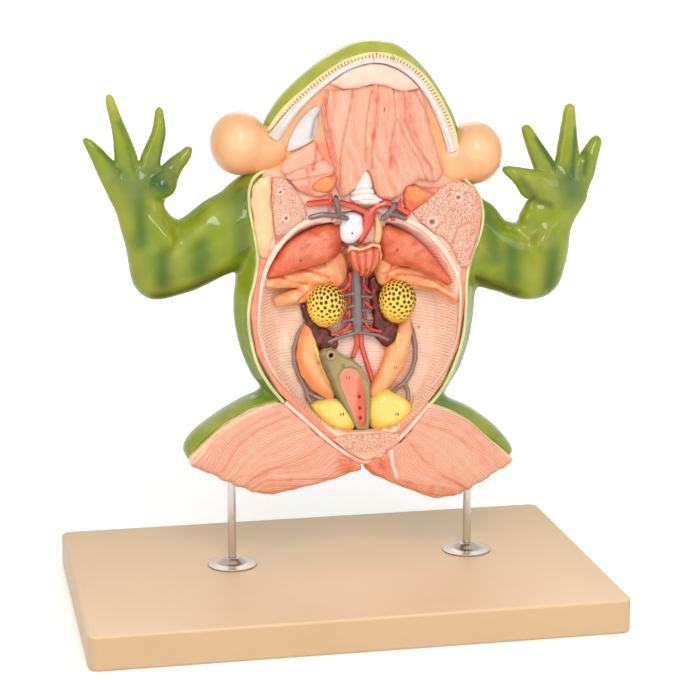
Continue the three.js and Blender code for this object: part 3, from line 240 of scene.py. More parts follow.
def new_material(name, roughness, coat=0.0, more=None):
    """A material, its tree and shader, and the place on the object. A coat is clear varnish."""
    material = bpy.data.materials.new(name)
    material.use_nodes = True
    tree = material.node_tree
    shader = tree.nodes["Principled BSDF"]
    settings = {"Roughness": roughness, "Coat Weight": coat, "Coat Roughness": 0.1, "Coat IOR": 1.4}
    for socket, value in {**settings, **(more or {})}.items():
        shader.inputs[socket].default_value = value
    return material, tree, shader, add_node(tree, "TexCoord").outputs["Object"]


def noise(tree, place, scale, detail=2.0, distortion=0.0):
    """A cloudy pattern between 0 and 1."""
    settings = {"Vector": place, "Scale": scale, "Detail": detail, "Distortion": distortion}
    return add_node(tree, "TexNoise", settings).outputs["Fac"]


def ramp(tree, value, *stops):
    """The colours of (place, hex colour) stops, picked by a value."""
    return add_node(tree, "ValToRGB", {"Fac": value}, stops=stops).outputs["Color"]


def blended(tree, share, under, over, how="MIX"):
    """Two colours mixed by a share of the second."""
    settings = {"Factor": share, "A": under, "B": over}
    return add_node(tree, "Mix", settings, data_type="RGBA", blend_type=how).outputs["Result"]


def bumped(tree, shader, height, depth, strength):
    """Makes the shading rise with a height, by up to a depth in metres."""
    bump = add_node(tree, "Bump", {"Height": height, "Distance": depth, "Strength": strength})
    tree.links.new(bump.outputs["Normal"], shader.inputs["Normal"])


lacquer, tree, shader, place = new_material("cream_lacquer", 0.42, 0.05, {"Specular IOR Level": 0.3})
parts = add_node(tree, "SeparateXYZ", {"Vector": place}).outputs
# The top is painted lighter towards the front, as painted light, and the sides darker, as painted shade.
forward = mapped(tree, parts["Y"], high.y, low.y)
top = ramp(tree, forward, (0.0, "#E0BE95"), (1.0, "#F8D7B1"))
on_top = mapped(tree, parts["Z"], high.z - BOARD_EDGE, high.z - 0.5 * MM)
lit_top_and_shaded_sides = blended(tree, on_top, linear("#DFBE95"), top)
mottle = ramp(tree, noise(tree, place, 9.0, 3.0), (0.3, "#F9F8F6"), (0.7, "#FFFFFF"))
tree.links.new(blended(tree, 1.0, lit_top_and_shaded_sides, mottle, "MULTIPLY"), shader.inputs["Base Color"])
bumped(tree, shader, noise(tree, place, 420.0), 0.00012, 0.35)
board.data.materials.append(lacquer)
seat(board, "lacquered_board", "stand", "board_lacquer", "base_board")
apply_modifier(board, "WEIGHTED_NORMAL", keep_sharp=True)

# Rods
# Two 6 mm steel bars with chamfered ends, polished and chromed.
CHAMFER = 0.6 * MM
METAL_GRAIN = (0.00002, 0.25)

chromed, tree, shader, place = new_material(
    "polished_chrome", 0.2, more={"Metallic": 1.0, "Base Color": linear("#CFCAC4")}
)
drawn = add_node(tree, "Mapping", {"Vector": place, "Scale": (900.0, 900.0, 25.0)})
bumped(tree, shader, noise(tree, drawn.outputs[0], 1.0), *METAL_GRAIN)
for side in ("left", "right"):
    low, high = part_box(f"{side}_rod")
    bpy.ops.mesh.primitive_cylinder_add(
        vertices=48, radius=ROD_RADIUS, depth=high.z - low.z, location=(low + high) / 2
    )
    rod = bpy.context.object
    settled(rod)
    bevelled(rod, CHAMFER, 3, lambda a, b: abs(a.z - b.z) < 0.1 * MM)
    rod.data.materials.append(chromed)
    seat(rod, f"{side}_chromed_rod", "stand", "chrome", f"{side}_rod")
    bpy.ops.object.shade_smooth_by_angle(angle=math.radians(40))

# Flanges and nuts
# Each flange is a disc spun from steel sheet, with a domed hub round the rod and a rolled rim.
# Under the board a hexagon nut with a washer clamps it.
FLANGE_PROFILE = [(3.3, 0.2), (17.2, 0.2), (17.8, 0.4), (18.0, 0.7), (17.8, 1.0), (17.0, 1.15), (14.0, 1.2),
                  (11.2, 1.5), (9.6, 2.1), (8.4, 3.2), (7.2, 4.5), (5.9, 5.6), (4.6, 6.2), (3.3, 6.4)]
WASHER_THICKNESS = 0.8
WASHER_PROFILE = [(3.3, 0), (6.8, 0), (7.0, 0.2), (7.0, 0.6), (6.8, 0.8), (3.3, 0.8)]
NUT_RADIUS = 5.77 * MM
NUT_HEIGHT = 5 * MM
MERGE = 1e-6


def spun(profile, middle, steps=64):
    """A ring turned round an upright axis from a closed profile of radius and height in mm."""
    count = len(profile)
    sheet = bpy.data.meshes.new("profile")
    sheet.from_pydata(
        [(radius * MM, 0, height * MM) for radius, height in profile],
        [(i, (i + 1) % count) for i in range(count)],
        [],
    )
    ring = bpy.data.objects.new("ring", sheet)
    bpy.context.collection.objects.link(ring)
    active(ring)
    bpy.ops.object.mode_set(mode="EDIT")
    bpy.ops.mesh.select_all(action="SELECT")
    bpy.ops.mesh.spin(steps=steps, angle=2 * math.pi, center=(0, 0, 0), axis=(0, 0, 1))
    bpy.ops.mesh.select_all(action="SELECT")
    bpy.ops.mesh.remove_doubles(threshold=MERGE)
    bpy.ops.mesh.normals_make_consistent(inside=False)
    bpy.ops.object.mode_set(mode="OBJECT")
    ring.location = middle
    return ring


def joined(*pieces):
    """Several pieces as one object."""
    active(pieces[0])
    for piece in pieces[1:]:
        piece.select_set(True)
    bpy.ops.object.join()
    return pieces[0]


spun_nickel, tree, shader, place = new_material(
    "spun_nickel", 0.3, more={"Metallic": 1.0, "Base Color": linear("#B6AA9E")}
)
bumped(tree, shader, noise(tree, place, 600.0), *METAL_GRAIN)
zinc, tree, shader, place = new_material("zinc_plated_steel", 0.38, more={"Metallic": 1.0})
flakes = add_node(tree, "TexVoronoi", {"Vector": place, "Scale": 700.0}).outputs["Distance"]
tree.links.new(ramp(tree, flakes, (0.0, "#8C9094"), (1.0, "#A9ACAE")), shader.inputs["Base Color"])
board_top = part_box("base_board")[1].z
for side in ("left", "right"):
    rod_low, rod_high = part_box(f"{side}_rod")
    middle = (rod_low + rod_high) / 2
    flange = spun(FLANGE_PROFILE, (middle.x, middle.y, board_top))
    flange.data.materials.append(spun_nickel)
    seat(flange, f"{side}_spun_flange", "stand", "chrome", f"{side}_flange")
    nut_low, nut_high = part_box(f"{side}_flange_nut")
    bpy.ops.mesh.primitive_cylinder_add(
        vertices=6, radius=NUT_RADIUS, depth=NUT_HEIGHT,
        location=(middle.x, middle.y, nut_low.z + NUT_HEIGHT / 2),
    )
    nut = bpy.context.object
    apply_modifier(nut, "BEVEL", width=0.4 * MM, segments=2, limit_method="ANGLE")
    washer = spun(WASHER_PROFILE, (middle.x, middle.y, nut_high.z - WASHER_THICKNESS * MM), steps=40)
    joined(nut, washer)
    nut.data.materials.append(zinc)
    seat(nut, f"{side}_nut_and_washer", "stand", "zinc_steel", f"{side}_flange_nut")
    bpy.ops.object.shade_smooth_by_angle(angle=math.radians(35))

# Skin
# Head, trunk, arms and thigh stumps are one hollow casting of plastic, sprayed olive green with
# darker bands over it and lighter on the crown of the head, under a gloss varnish.
# The arms and hands also carry painted shade and a painted highlight.
SKIN_NODES = ("dorsal_shell", "left_arm", "right_arm", "left_thigh_skin", "right_thigh_skin")
SKIN_GRID = 1.48
SKIN_PASSES = 82
HIDDEN_SHARE = 0.05
MIDDLE_X = 26


def merged(piece):
    """Joins those points of a piece that lie in the same place."""
    active(piece)
    bpy.ops.object.mode_set(mode="EDIT")
    bpy.ops.mesh.select_all(action="SELECT")
    bpy.ops.mesh.remove_doubles(threshold=MERGE)
    bpy.ops.object.mode_set(mode="OBJECT")
    return piece


def welded_copy(*nodes):
    """A new mesh of the loose triangles of one or more solids, merged at their corners."""
    bpy.ops.object.select_all(action="DESELECT")
    for node in nodes:
        copy = bpy.data.objects.new("copy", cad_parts[node].data.copy())
        bpy.context.collection.objects.link(copy)
        copy.select_set(True)
        bpy.context.view_layer.objects.active = copy
    if len(nodes) > 1:
        bpy.ops.object.join()
    copy = bpy.context.view_layer.objects.active
    copy.data.materials.clear()
    return merged(copy)


def even_grid(piece, size):
    """Remeshes a closed piece with square faces of one size in mm."""
    active(piece)
    piece.data.remesh_voxel_size = size * MM
    bpy.ops.object.voxel_remesh()


def points_of(piece):
    """The places of a piece's points in mm and their normals, as two arrays."""
    count = len(piece.data.vertices)
    places = np.empty(count * 3, np.float32)
    normals = np.empty(count * 3, np.float32)
    piece.data.vertices.foreach_get("co", places)
    piece.data.vertex_normals.foreach_get("vector", normals)
    return places.reshape(-1, 3).astype(float) / MM, normals.reshape(-1, 3).astype(float)


def put_points(piece, places):
    """Moves a piece's points to places given in mm."""
    piece.data.vertices.foreach_set("co", (places * MM).astype(np.float32).ravel())
    piece.data.update()


def raised(piece, height):
    """Carves a piece: each point moves along its normal by height(x, y, z) mm."""
    places, normals = points_of(piece)
    put_points(piece, places + normals * height(*places.T)[:, None])


def relaxed(piece, passes, weight=None):
    """Evens out a piece: each pass moves a point half way to the mean of its neighbours."""
    places, _ = points_of(piece)
    count = len(places)
    pairs = np.empty(len(piece.data.edges) * 2, np.int32)
    piece.data.edges.foreach_get("vertices", pairs)
    a, b = pairs[0::2], pairs[1::2]
    degree = np.bincount(pairs, minlength=count)[:, None]
    pull = 0.5 if weight is None else 0.5 * weight(*places.T)[:, None]
    for _ in range(passes):
        total = np.empty_like(places)
        for i in range(3):
            total[:, i] = np.bincount(a, places[b, i], count) + np.bincount(b, places[a, i], count)
        places += (total / degree - places) * pull
    put_points(piece, places)


def ease(value, start, end):
    """0 before start, 1 after end, and a smooth rise between them."""
    t = np.clip((value - start) / (end - start), 0, 1)
    return t * t * (3 - 2 * t)


def bell(distance, width):
    """1 at no distance, falling smoothly to nothing past the width."""
    return np.exp(-((distance / width) ** 2))


skin = welded_copy(*SKIN_NODES)
even_grid(skin, SKIN_GRID)


def skin_ease(x, y, z):
    """How far each point gives way: fully on the back and the arms, and hardly on the hands."""
    back = ease(y, 2, 14)
    hands = ease(z, 285, 305) * ease(np.abs(x - 20), 100, 115)
    arms = ease(np.abs(x - 22), 92, 104)
    return np.clip(np.maximum(back, arms), 0, 1) * (1 - 0.9 * hands)


relaxed(skin, SKIN_PASSES, skin_ease)
relaxed(skin, 2)


def skin_swell(x, y, z):
    """Gives back what the relaxing took from hands and trunk."""
    palms = np.minimum(np.hypot(x + 135, z - 309), np.hypot(x - 172, z - 303))
    hands = (1.6 - 0.35 * ease(palms, 22, 50)) * ease(z, 290, 315) * ease(np.abs(x - 20), 100, 112)
    trunk = 1.7 * ease(y, 1, 9) * ease(z, 150, 170) * ease(104 - np.abs(x - 24), 0, 12)
    return hands + trunk


raised(skin, skin_swell)
PUSHES = [
    (-128, 238, -2.5, -6.5, 20), (-96, 236, 0, -2.5, 16), (-82, 244, 0, -2.0, 12), (-89, 296, 0, 2.0, 14),
    (-122, 344, 2.4, 0, 15), (-112, 307, 2.2, -2.4, 9), (-103, 326, 1.0, -1.4, 8), (-154, 344, 0.8, 0, 12),
    (-117, 299, 1.5, -2.0, 6), (-132, 242, -0.5, -1.0, 14),
    (-156, 298, -1.6, 0, 12), (-149, 278, -1.6, 0, 12),
    (158, 230, 2.0, -6.5, 22), (139, 218, 0, -1.5, 16), (174, 251, 1.2, 0, 12), (119, 281, -1.0, -3.0, 12),
    (130, 274, -1.5, -2.5, 7), (138, 301, -1.5, -5.0, 9), (145, 292, -5.5, -2.0, 8), (187, 289, 4.8, 0, 12),
    (192, 305, 2.0, 0, 10), (112, 292, -1.0, -1.5, 8), (144, 297, 0.5, -5.5, 6), (147, 277, -4.5, 0.5, 7),
    (130, 312, -4.0, 0, 8),
]
places, _ = points_of(skin)
for across, along, move_x, move_z, reach in PUSHES:
    share = bell(np.hypot(places[:, 0] - across, places[:, 2] - along), reach)
    places[:, 0] += move_x * share
    places[:, 2] += move_z * share
places[:, 2] += 3.5 * ease(108 - places[:, 2], 0, 16) * ease(26 - places[:, 1], 0, 10)
put_points(skin, places)


def skin_relief(x, y, z):
    """Folds along the back, a ring for each eardrum, nostrils and a faint hollow of the spine."""
    back = ease(y, 24, 34)
    off = np.abs(x - MIDDLE_X)
    fold_x = np.interp(z, [110, 170, 240, 300, 345], [12, 26, 38, 44, 40])
    folds = 1.5 * bell(off - fold_x, 3.4) * ease(z, 115, 150) * ease(345 - z, 0, 20)
    spine = -0.9 * bell(off, 9) * ease(z, 130, 190) * ease(320 - z, 0, 40)
    hump = 2.2 * bell(z - 190, 26) * bell(off - 9, 9)
    drum = np.hypot(off - 43, z - 342)
    drum_ring = 1.1 * bell(drum - 7, 1.6) - 0.8 * bell(drum, 4.5)
    nostril = -1.4 * bell(np.hypot(off - 8, z - 394), 1.7)
    warts = 0.35 * np.sin(x * 0.83 + 2 * np.sin(z * 0.31)) * np.sin(z * 0.77 + 2 * np.sin(x * 0.27))
    return back * (folds + spine + hump + warts + drum_ring) + ease(y, 20, 26) * nostril


raised(skin, skin_relief)


def off_line(x, z, *corners):
    """How far a place is, seen from the front, from a line through corners, all in mm."""
    best = np.full_like(x, 1e9)
    for (ax, az), (bx, bz) in zip(corners, corners[1:]):
        dx, dz = bx - ax, bz - az
        t = np.clip(((x - ax) * dx + (z - az) * dz) / (dx * dx + dz * dz), 0, 1)
        best = np.minimum(best, np.hypot(x - ax - t * dx, z - az - t * dz))
    return best


def spot(x, z, across, along, wide, tall):
    """1 in the middle of an oval patch at (across, along) and 0 outside of it."""
    return 1 - ease(np.hypot((x - across) / wide, (z - along) / tall), 0.6, 1.2)


ARM_RIDGES = [
    (1.2, 3.6, [(-114.6, 261), (-102.6, 272), (-90, 283)]),
    (1.4, 4.5, [(-121, 273), (-117, 267)]),
    (-1.7, 1.6, [(-107, 284), (-110.6, 274), (-114.8, 262)]),
    (-1.1, 1.5, [(-132.6, 301), (-122.6, 295.5), (-112, 301)]),
    (1.6, 7.0, [(-121.5, 310), (-117.5, 308)]),
    (-1.0, 1.6, [(-148.6, 321), (-146.6, 309)]),
    (-1.0, 1.6, [(-135.6, 325), (-137.6, 311)]),
    (1.1, 1.4, [(-170, 339), (-161, 329), (-152, 318)]),
    (1.3, 1.4, [(-154.6, 367), (-148.6, 350), (-142.6, 334), (-137.6, 321)]),
    (1.3, 1.4, [(-120, 359), (-119, 344), (-124.6, 324)]),
    (1.1, 1.4, [(-100.6, 332), (-107.6, 323)]),
    (-1.8, 1.7, [(130.5, 272), (143.9, 263), (153, 252)]),
    (-1.2, 1.6, [(152, 288), (161.9, 285), (169.9, 285)]),
    (1.2, 1.4, [(146, 339), (152, 326), (161, 312)]),
    (1.2, 1.4, [(177.4, 350), (176.4, 328), (173.9, 306)]),
    (1.2, 1.4, [(197.9, 329), (191.9, 316), (187.9, 307)]),
]
TENDONS = [((-131, 294), (-117, 268)), ((162, 276), (152, 258))]
TENDON_HEIGHT = 6.0


def on_arms(x):
    """1 on the arms outside of the shoulders, and 0 on the trunk."""
    return ease(np.abs(x - 22), 84, 92)


def arm_relief(x, y, z):
    """Ridges along the fingers and forearms, and the creases of elbows, palms and thumbs."""
    tendons = sum(
        TENDON_HEIGHT * ease(top[1] - z, 0, top[1] - end[1])
        * (1 - ease(off_line(x, z, top, end), 1.6, 8.0))
        for top, end in TENDONS
    )
    ridges = sum(height * bell(off_line(x, z, *line), width) for height, width, line in ARM_RIDGES)
    return ease(16 - y, 0, 8) * on_arms(x) * (tendons + ridges)


raised(skin, arm_relief)
relaxed(skin, 5, lambda x, y, z: on_arms(x))


def painted(piece, base, layers):
    """Paints a piece's points: a base colour, then each layer where its mask(x, y, z) is above 0."""
    places, _ = points_of(piece)
    colors = np.tile(linear(base)[:3], (len(places), 1))
    for color, mask in layers:
        cover = np.clip(mask(*places.T), 0, 1)[:, None]
        colors += (np.array(linear(color)[:3]) - colors) * cover
    attribute = piece.data.color_attributes.new("paint", "FLOAT_COLOR", "POINT")
    opaque = np.hstack([colors, np.ones((len(colors), 1))])
    attribute.data.foreach_set("color", opaque.astype(np.float32).ravel())


# Sprayed bands of the arms' own paint, together with painted shade and one painted highlight.
ARM_BANDS_SHADE_AND_HIGHLIGHTS = [
    ("#A2A42A", 0.7, 6, [(-150, 300), (-146, 270), (-139, 246), (-124, 236), (-100, 242), (-80, 252)]),
    ("#4E7010", 0.85, 6, [(-137, 303), (-136, 270)]),
    ("#44640F", 0.9, 7, [(-121.5, 258), (-122.5, 241)]),
    ("#4E7010", 0.85, 9, [(-95.5, 268), (-95.5, 249)]),
    ("#5E7220", 0.85, 8, [(-66, 300), (-65, 262)]),
    # Painted shade across the left palm, between the fingers.
    ("#6C8240", 0.8, 9, [(-150, 316), (-142, 308), (-132, 318), (-116, 322)]),
    ("#305E2C", 0.9, 6, [(-125, 311), (-119, 308)]),
    # Painted shade: dark stripes on the shaded side of the left fingers.
    ("#43681E", 0.6, 2.2, [(-163, 334), (-150, 319)]),
    ("#43681E", 0.6, 2.2, [(-149, 352), (-144, 338), (-140, 320)]),
    ("#6A7A36", 0.7, 2.0, [(-117, 352), (-121, 326)]),
    # Painted shade along the underside of the left arm.
    ("#595E12", 0.85, 4.5, [(-126, 229), (-112, 230), (-92, 238), (-68, 248)]),
    ("#557416", 0.8, 7, [(114, 280), (118, 250)]),
    ("#4A6C10", 0.85, 7, [(131, 256), (132, 234)]),
    ("#A0A62A", 0.8, 6, [(149, 252), (150, 224)]),
    ("#466610", 0.85, 7, [(163, 250), (161, 227)]),
    ("#A0A830", 0.8, 5, [(174, 278), (172, 240)]),
    ("#A2AA40", 0.8, 5, [(134, 312), (152, 304), (163, 291)]),
    # Painted shade in the hollow of the right palm.
    ("#5A7440", 0.9, 11, [(174, 303), (178, 296)]),
    # Painted shade under the right thumb.
    ("#5E6420", 0.8, 3, [(138, 305), (150, 290), (160, 286)]),
    # A painted highlight along the top of the left upper arm.
    ("#B4B84C", 0.5, 4, [(-112, 262), (-98, 274), (-84, 288)]),
    # Painted shade: dark stripes on the shaded side of the right fingers.
    ("#3E602A", 0.85, 2.2, [(150, 334), (164, 312)]),
    ("#3E602A", 0.85, 2.2, [(179.5, 340), (176, 306)]),
    ("#3E602A", 0.8, 2.2, [(188, 322), (186, 308)]),
    # Painted shade along the underside of the right arm.
    ("#555C22", 0.85, 4.5, [(108, 234), (122, 227), (136, 222)]),
]


def clouds_of_green(x, y, z):
    """Soft cross bands for the trunk and the back of the arms, between -1 and 1."""
    return np.sin(0.1 * z + 1.6 * np.sin(0.045 * x + 0.03 * y)) * np.sin(0.075 * x + 1.3 * np.sin(0.06 * z))


def band_shade_or_highlight_layer(strength, width, line):
    """Where one sprayed band, painted shade or painted highlight lies on the front of an arm."""
    return lambda x, y, z: (
        strength * ease(20 - y, 0, 8) * ease(np.abs(x - 22), 76, 84) * bell(off_line(x, z, *line), width)
    )


def stored(tree, name, kind="Fac"):
    """What a piece's points keep under a name."""
    return add_node(tree, "Attribute", attribute_name=name).outputs[kind]


painted(
    skin, "#92A11C",
    [
        ("#4E7418", lambda x, y, z: 0.8 * ease(clouds_of_green(x, y, z), 0.1, 0.7) * ease(y, 2, 16)),
        ("#A3A63A", lambda x, y, z: 0.7 * ease(-clouds_of_green(x, y, z), 0.2, 0.8)),
        ("#64872C", lambda x, y, z: 0.7 * ease(250 - z, 0, 60) * ease(-np.abs(x - 20), -92, -70)),
        ("#C4C23E", lambda x, y, z: 0.85 * ease(z, 330, 388)),
        ("#A9AC44", lambda x, y, z: 0.6 * spot(x, z, -70, 138, 42, 16) + 0.4 * spot(x, z, 112, 128, 30, 14)),
    ] + [(color, band_shade_or_highlight_layer(*band)) for color, *band in ARM_BANDS_SHADE_AND_HIGHLIGHTS],
)
sprayed_green, tree, shader, place = new_material(
    "sprayed_green", 0.34, 0.7, {"Coat IOR": 1.43, "Coat Roughness": 0.07, "Specular IOR Level": 0.15}
)
mist = ramp(tree, noise(tree, place, 55.0, distortion=0.3), (0.35, "#DCE6C8"), (0.65, "#FFFFFF"))
sprayed = blended(tree, 0.8, stored(tree, "paint", "Color"), mist, "MULTIPLY")
tree.links.new(sprayed, shader.inputs["Base Color"])
bumped(tree, shader, noise(tree, place, 320.0), 0.0002, 0.3)
places, facing = points_of(skin)
from_axis = places[:, :2] - (MIDDLE_X, 18)
hidden = (facing[:, :2] * from_axis).sum(1) < -0.3 * np.linalg.norm(from_axis, axis=1)
hidden &= (np.abs(from_axis[:, 0]) < 80) & (places[:, 2] > 112) & (places[:, 1] > 1)
active(skin)
bpy.ops.object.mode_set(mode="EDIT")
bpy.ops.mesh.select_mode(type="VERT")
bpy.ops.mesh.select_all(action="DESELECT")
bpy.ops.object.mode_set(mode="OBJECT")
skin.data.vertices.foreach_set("select", hidden)
bpy.ops.object.mode_set(mode="EDIT")
bpy.ops.mesh.decimate(ratio=HIDDEN_SHARE)
bpy.ops.object.mode_set(mode="OBJECT")
skin.data.materials.append(sprayed_green)
seat(skin, "frog_skin", "frog", "green_skin", *SKIN_NODES)

# Eyes
# Solid plastic balls set into the back of the head, painted gold with a level black pupil.
GRAIN_DEPTH = 0.00012
FIBRE_DEPTH = 0.0003


def hand_painted(name, roughness, coat, mottle=0.5, dark=None, light=None, pores=None, cells=430.0, marks=()):
    """Plastic painted by brush and varnished. It can have fibres of two tones, pores, or crisp marks."""
    material, tree, shader, place = new_material(name, roughness, coat, {"Specular IOR Level": 0.35})
    tone = ramp(tree, noise(tree, place, 140.0, 3.0), (0.35, "#F4DCD2"), (0.62, "#FFFFFF"))
    color = blended(tree, mottle, stored(tree, "paint", "Color"), tone, "MULTIPLY")
    height, depth = noise(tree, place, 500.0), GRAIN_DEPTH
    if dark or pores:
        cover = stored(tree, "cover")
        depth = FIBRE_DEPTH
    if dark:
        waver = mapped(tree, noise(tree, place, 55.0), 0.0, 1.0, high=3.0)
        turn = combined(tree, "MULTIPLY_ADD", stored(tree, "strand"), 2 * math.pi, waver)
        wave = combined(tree, "SINE", turn)
        dabs = mapped(tree, noise(tree, place, 150.0, 1.0), 0.36, 0.56)
        broken = combined(tree, "MULTIPLY", dabs, cover)
        for shade, start, end in ((dark, -0.2, -1.0), (light, 0.3, 1.0)):
            share = combined(tree, "MULTIPLY", mapped(tree, wave, start, end), broken)
            color = blended(tree, share, color, linear(shade))
        height = combined(tree, "MULTIPLY", wave, cover)
    if pores:
        net = add_node(tree, "TexVoronoi", {"Vector": place, "Scale": cells}, feature="DISTANCE_TO_EDGE")
        share = combined(tree, "MULTIPLY", mapped(tree, net.outputs["Distance"], 0.13, 0.03), cover)
        color = blended(tree, share, color, linear(pores))
        height = combined(tree, "SUBTRACT", 1.0, share)
    for shade, inner, outer in marks:
        color = blended(tree, mapped(tree, stored(tree, "marks"), outer, inner), color, linear(shade))
    tree.links.new(color, shader.inputs["Base Color"])
    bumped(tree, shader, height, depth, 0.5)
    return material


def moulded(node, grid, passes, grow, relief=None):
    """A solid as a soft moulding: evenly meshed, its edges rounded, and then carved."""
    piece = welded_copy(node)
    even_grid(piece, grid)
    relaxed(piece, passes)
    raised(piece, lambda x, y, z: grow + (relief(x, y, z) if relief else 0 * x))
    return piece


def field(piece, name, values):
    """Stores one number per point of a piece for its paint to read."""
    attribute = piece.data.attributes.new(name, "FLOAT", "POINT")
    attribute.data.foreach_set("value", np.asarray(values, np.float32))


def finished(piece, name, body, slot, material, node, base, layers, strand=None, cover=None):
    """Paints a moulding, lays out its fibres, and seats it in the place of its node if it has one."""
    painted(piece, base, layers)
    places, _ = points_of(piece)
    if strand:
        field(piece, "strand", strand(*places.T))
    if strand or cover:
        field(piece, "cover", cover(*places.T) if cover else np.ones(len(places)))
    piece.data.materials.append(material)
    seat(piece, name, body, slot, *([node] if node else []))


def organ(node, name, slot, material, base, layers, grid, passes, grow, relief=None, body="frog", **fibres):
    """A piece of one node, moulded, painted and seated under its new name."""
    piece = moulded(node, grid, passes, grow, relief)
    finished(piece, name, body, slot, material, node, base, layers, **fibres)


eye_enamel = hand_painted("eye_enamel", 0.12, 1.0, mottle=0.2)
for side, outward in (("left", -1), ("right", 1)):
    low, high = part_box(f"{side}_eye")
    middle = (low + high) / (2 * MM)

    def pupil(x, y, z):
        return np.hypot((x - middle.x - 3.4 * outward) / 4.6, (z - middle.z - 2.5) / 2.6)

    organ(
        f"{side}_eye", f"{side}_painted_eye", "eye_paint", eye_enamel, "#6D7A2C",
        [
            ("#D9A93C", lambda x, y, z: 1 - ease(pupil(x, y, z), 1.5, 1.75)),
            ("#8C5A1C", lambda x, y, z: bell(pupil(x, y, z) - 1.55, 0.12)),
            ("#0C0A08", lambda x, y, z: 1 - ease(pupil(x, y, z), 0.92, 1.05)),
        ],
        grid=0.6, passes=12, grow=0.25,
    )

# Body wall
# The cut face and the bowl of the belly are one casting, painted in the layers of the body wall:
# a red muscle layer, a cream skin and the pale ribbed inner wall. It also carries the organs.
# Parts of the deep bowl are painted lighter, as painted light, and dark red beside the heart is painted
# shade.
CUT_FACE = -5
WALL_GRID = 1.2
RIB_MM = 2.3
RIB_HEIGHT = 0.15
FAN_TO_SHOULDER = (81, 307, 15, 10)

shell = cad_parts["dorsal_shell"].data
CUT_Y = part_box("dorsal_shell")[0].y
rim = BVHTree.FromPolygons(
    [Vector((v.co.x, 0, v.co.z)) for v in shell.vertices],
    [face.vertices for face in shell.polygons if face.normal.y < -0.9 and face.center.y < CUT_Y + MM],
)


def off_rim(x, z):
    """How far a place is, seen from the front, from the cut edge of the skin, in mm."""
    return np.array([rim.find_nearest(Vector((a * MM, 0, b * MM)))[3] / MM for a, b in zip(x, z)])


def patch(across, along, wide, tall, share=1.0):
    """A mask for an oval patch."""
    return lambda x, y, z: share * spot(x, z, across, along, wide, tall)


def sunk(start, end, share=1.0):
    """A mask that sets in from one depth to another."""
    return lambda x, y, z: share * ease(y, start, end)


wall = moulded("body_wall", WALL_GRID, passes=3, grow=0.0)
places, _ = points_of(wall)
from_rim = off_rim(places[:, 0], places[:, 2])
belly = ease(266 - places[:, 2], 0, 8)
floor_deep = ease(places[:, 1], 6, 12)
lip = ease(-places[:, 1], 2.2, 3.8)
ribbed = np.maximum(ease(from_rim, 8, 9.5), 1 - lip)


def ribs_of_belly(x, z):
    """The count of ribs up to a place; they lean away from the middle."""
    lean = 0.17 * ease(x, 10, 70) * (x - MIDDLE_X)
    return (z + lean + 0.05 * (MIDDLE_X - x) * ease(10 - x, 0, 40)) / RIB_MM


def wall_strands(x, y, z):
    """Ribs in the belly, and slanting fibres above it."""
    return np.where(z > 280, (0.9 * x + 0.5 * z) / 1.6, ribs_of_belly(x, z))


raised(wall, lambda x, y, z: RIB_HEIGHT * np.sin(2 * np.pi * ribs_of_belly(x, z)) * ribbed * belly)
finished(
    wall, "painted_body_wall", "frog", "pale_flesh",
    hand_painted("painted_wall", 0.45, 0.15, dark="#EE9878", light="#FFF0E0"),
    "body_wall", "#FFD4B8",
    [
        # Painted light: the deeper inner wall is painted lighter against its shade.
        ("#FFDAC0", sunk(-2, 8, 0.8)),
        ("#FBBE8C", lambda x, y, z: ease(z, 312, 322)),
        ("#F29C80", patch(-9, 318, 10, 22)),
        # Cream-pink above the belly: its own colour, painted a little lighter as painted light against the
        # shade of the vessels.
        ("#FFE3D4", lambda x, y, z: (1 - belly) * ease(300 - z, 0, 8)),
        # Painted light: a lighter patch in the deep lower left of the bowl.
        ("#FFE6CE", patch(-26, 166, 24, 34, floor_deep)),
        ("#F6B398", patch(*FAN_TO_SHOULDER, 0.9)),
        # Painted light: a lighter patch in the deep middle of the bowl.
        ("#FFE8D8", patch(20, 190, 20, 44, floor_deep)),
        ("#E98A6E", patch(11, 217, 4, 22, 0.6 * floor_deep)),
        ("#F0A184", patch(50, 170, 12, 22, 0.7 * floor_deep)),
        ("#F0A184", patch(-6, 175, 12, 22, 0.7 * floor_deep)),
        # Painted shade: dark red in the deep wall between the left lung and the heart.
        ("#B23A1C", lambda x, y, z: ease(y, -4, -1) * spot(x, z, 5, 262, 6, 12)),
        ("#DE6A3A", lambda x, y, z: ease(y, -4, -1) * spot(x, z, 5, 246, 9, 13)),
        ("#EE9350", lambda x, y, z: ease(y, -4, -1) * spot(x, z, 38, 242, 7, 14)),
        ("#FFF0DC", lambda x, y, z: belly * np.maximum(
            lip * bell(from_rim - 6.9, 0.9), 0.8 * bell(y + 2.9, 0.7) * ease(7.2 - from_rim, 0, 0.6))),
        ("#F39A80", lambda x, y, z: belly * lip * ease(6.0 - from_rim, 0, 0.5)),
        ("#F8AE94", lambda x, y, z: 0.6 * belly * lip * bell(from_rim - 3.4, 0.9)),
    ],
    strand=wall_strands,
    cover=lambda x, y, z: (
        0.85 * belly * ribbed * (1 - 0.45 * floor_deep) + 0.9 * spot(x, z, *FAN_TO_SHOULDER)
    ),
)

# Cut edge of the skin
# A thin pale line where the casting's skin was cut through, raised a little and painted by hand.
SKIN_EDGES = {
    "left": [(-49, 317.5), (-56, 313.5), (-60, 305), (-60.6, 297), (-59.3, 285), (-56.5, 270), (-55, 255),
             (-57, 240), (-60.8, 225), (-61.8, 210), (-59.9, 195), (-56, 180), (-48.4, 165), (-37, 150)],
    "right": [(95, 307.5), (103.5, 299), (108, 288), (108.8, 278), (106.2, 265), (100.4, 250), (97.8, 238),
              (97.2, 215), (96.3, 200), (93.8, 187), (90, 175), (84.4, 162), (77, 150), (70, 142.5)],
}
STRIP_GRID = 0.45


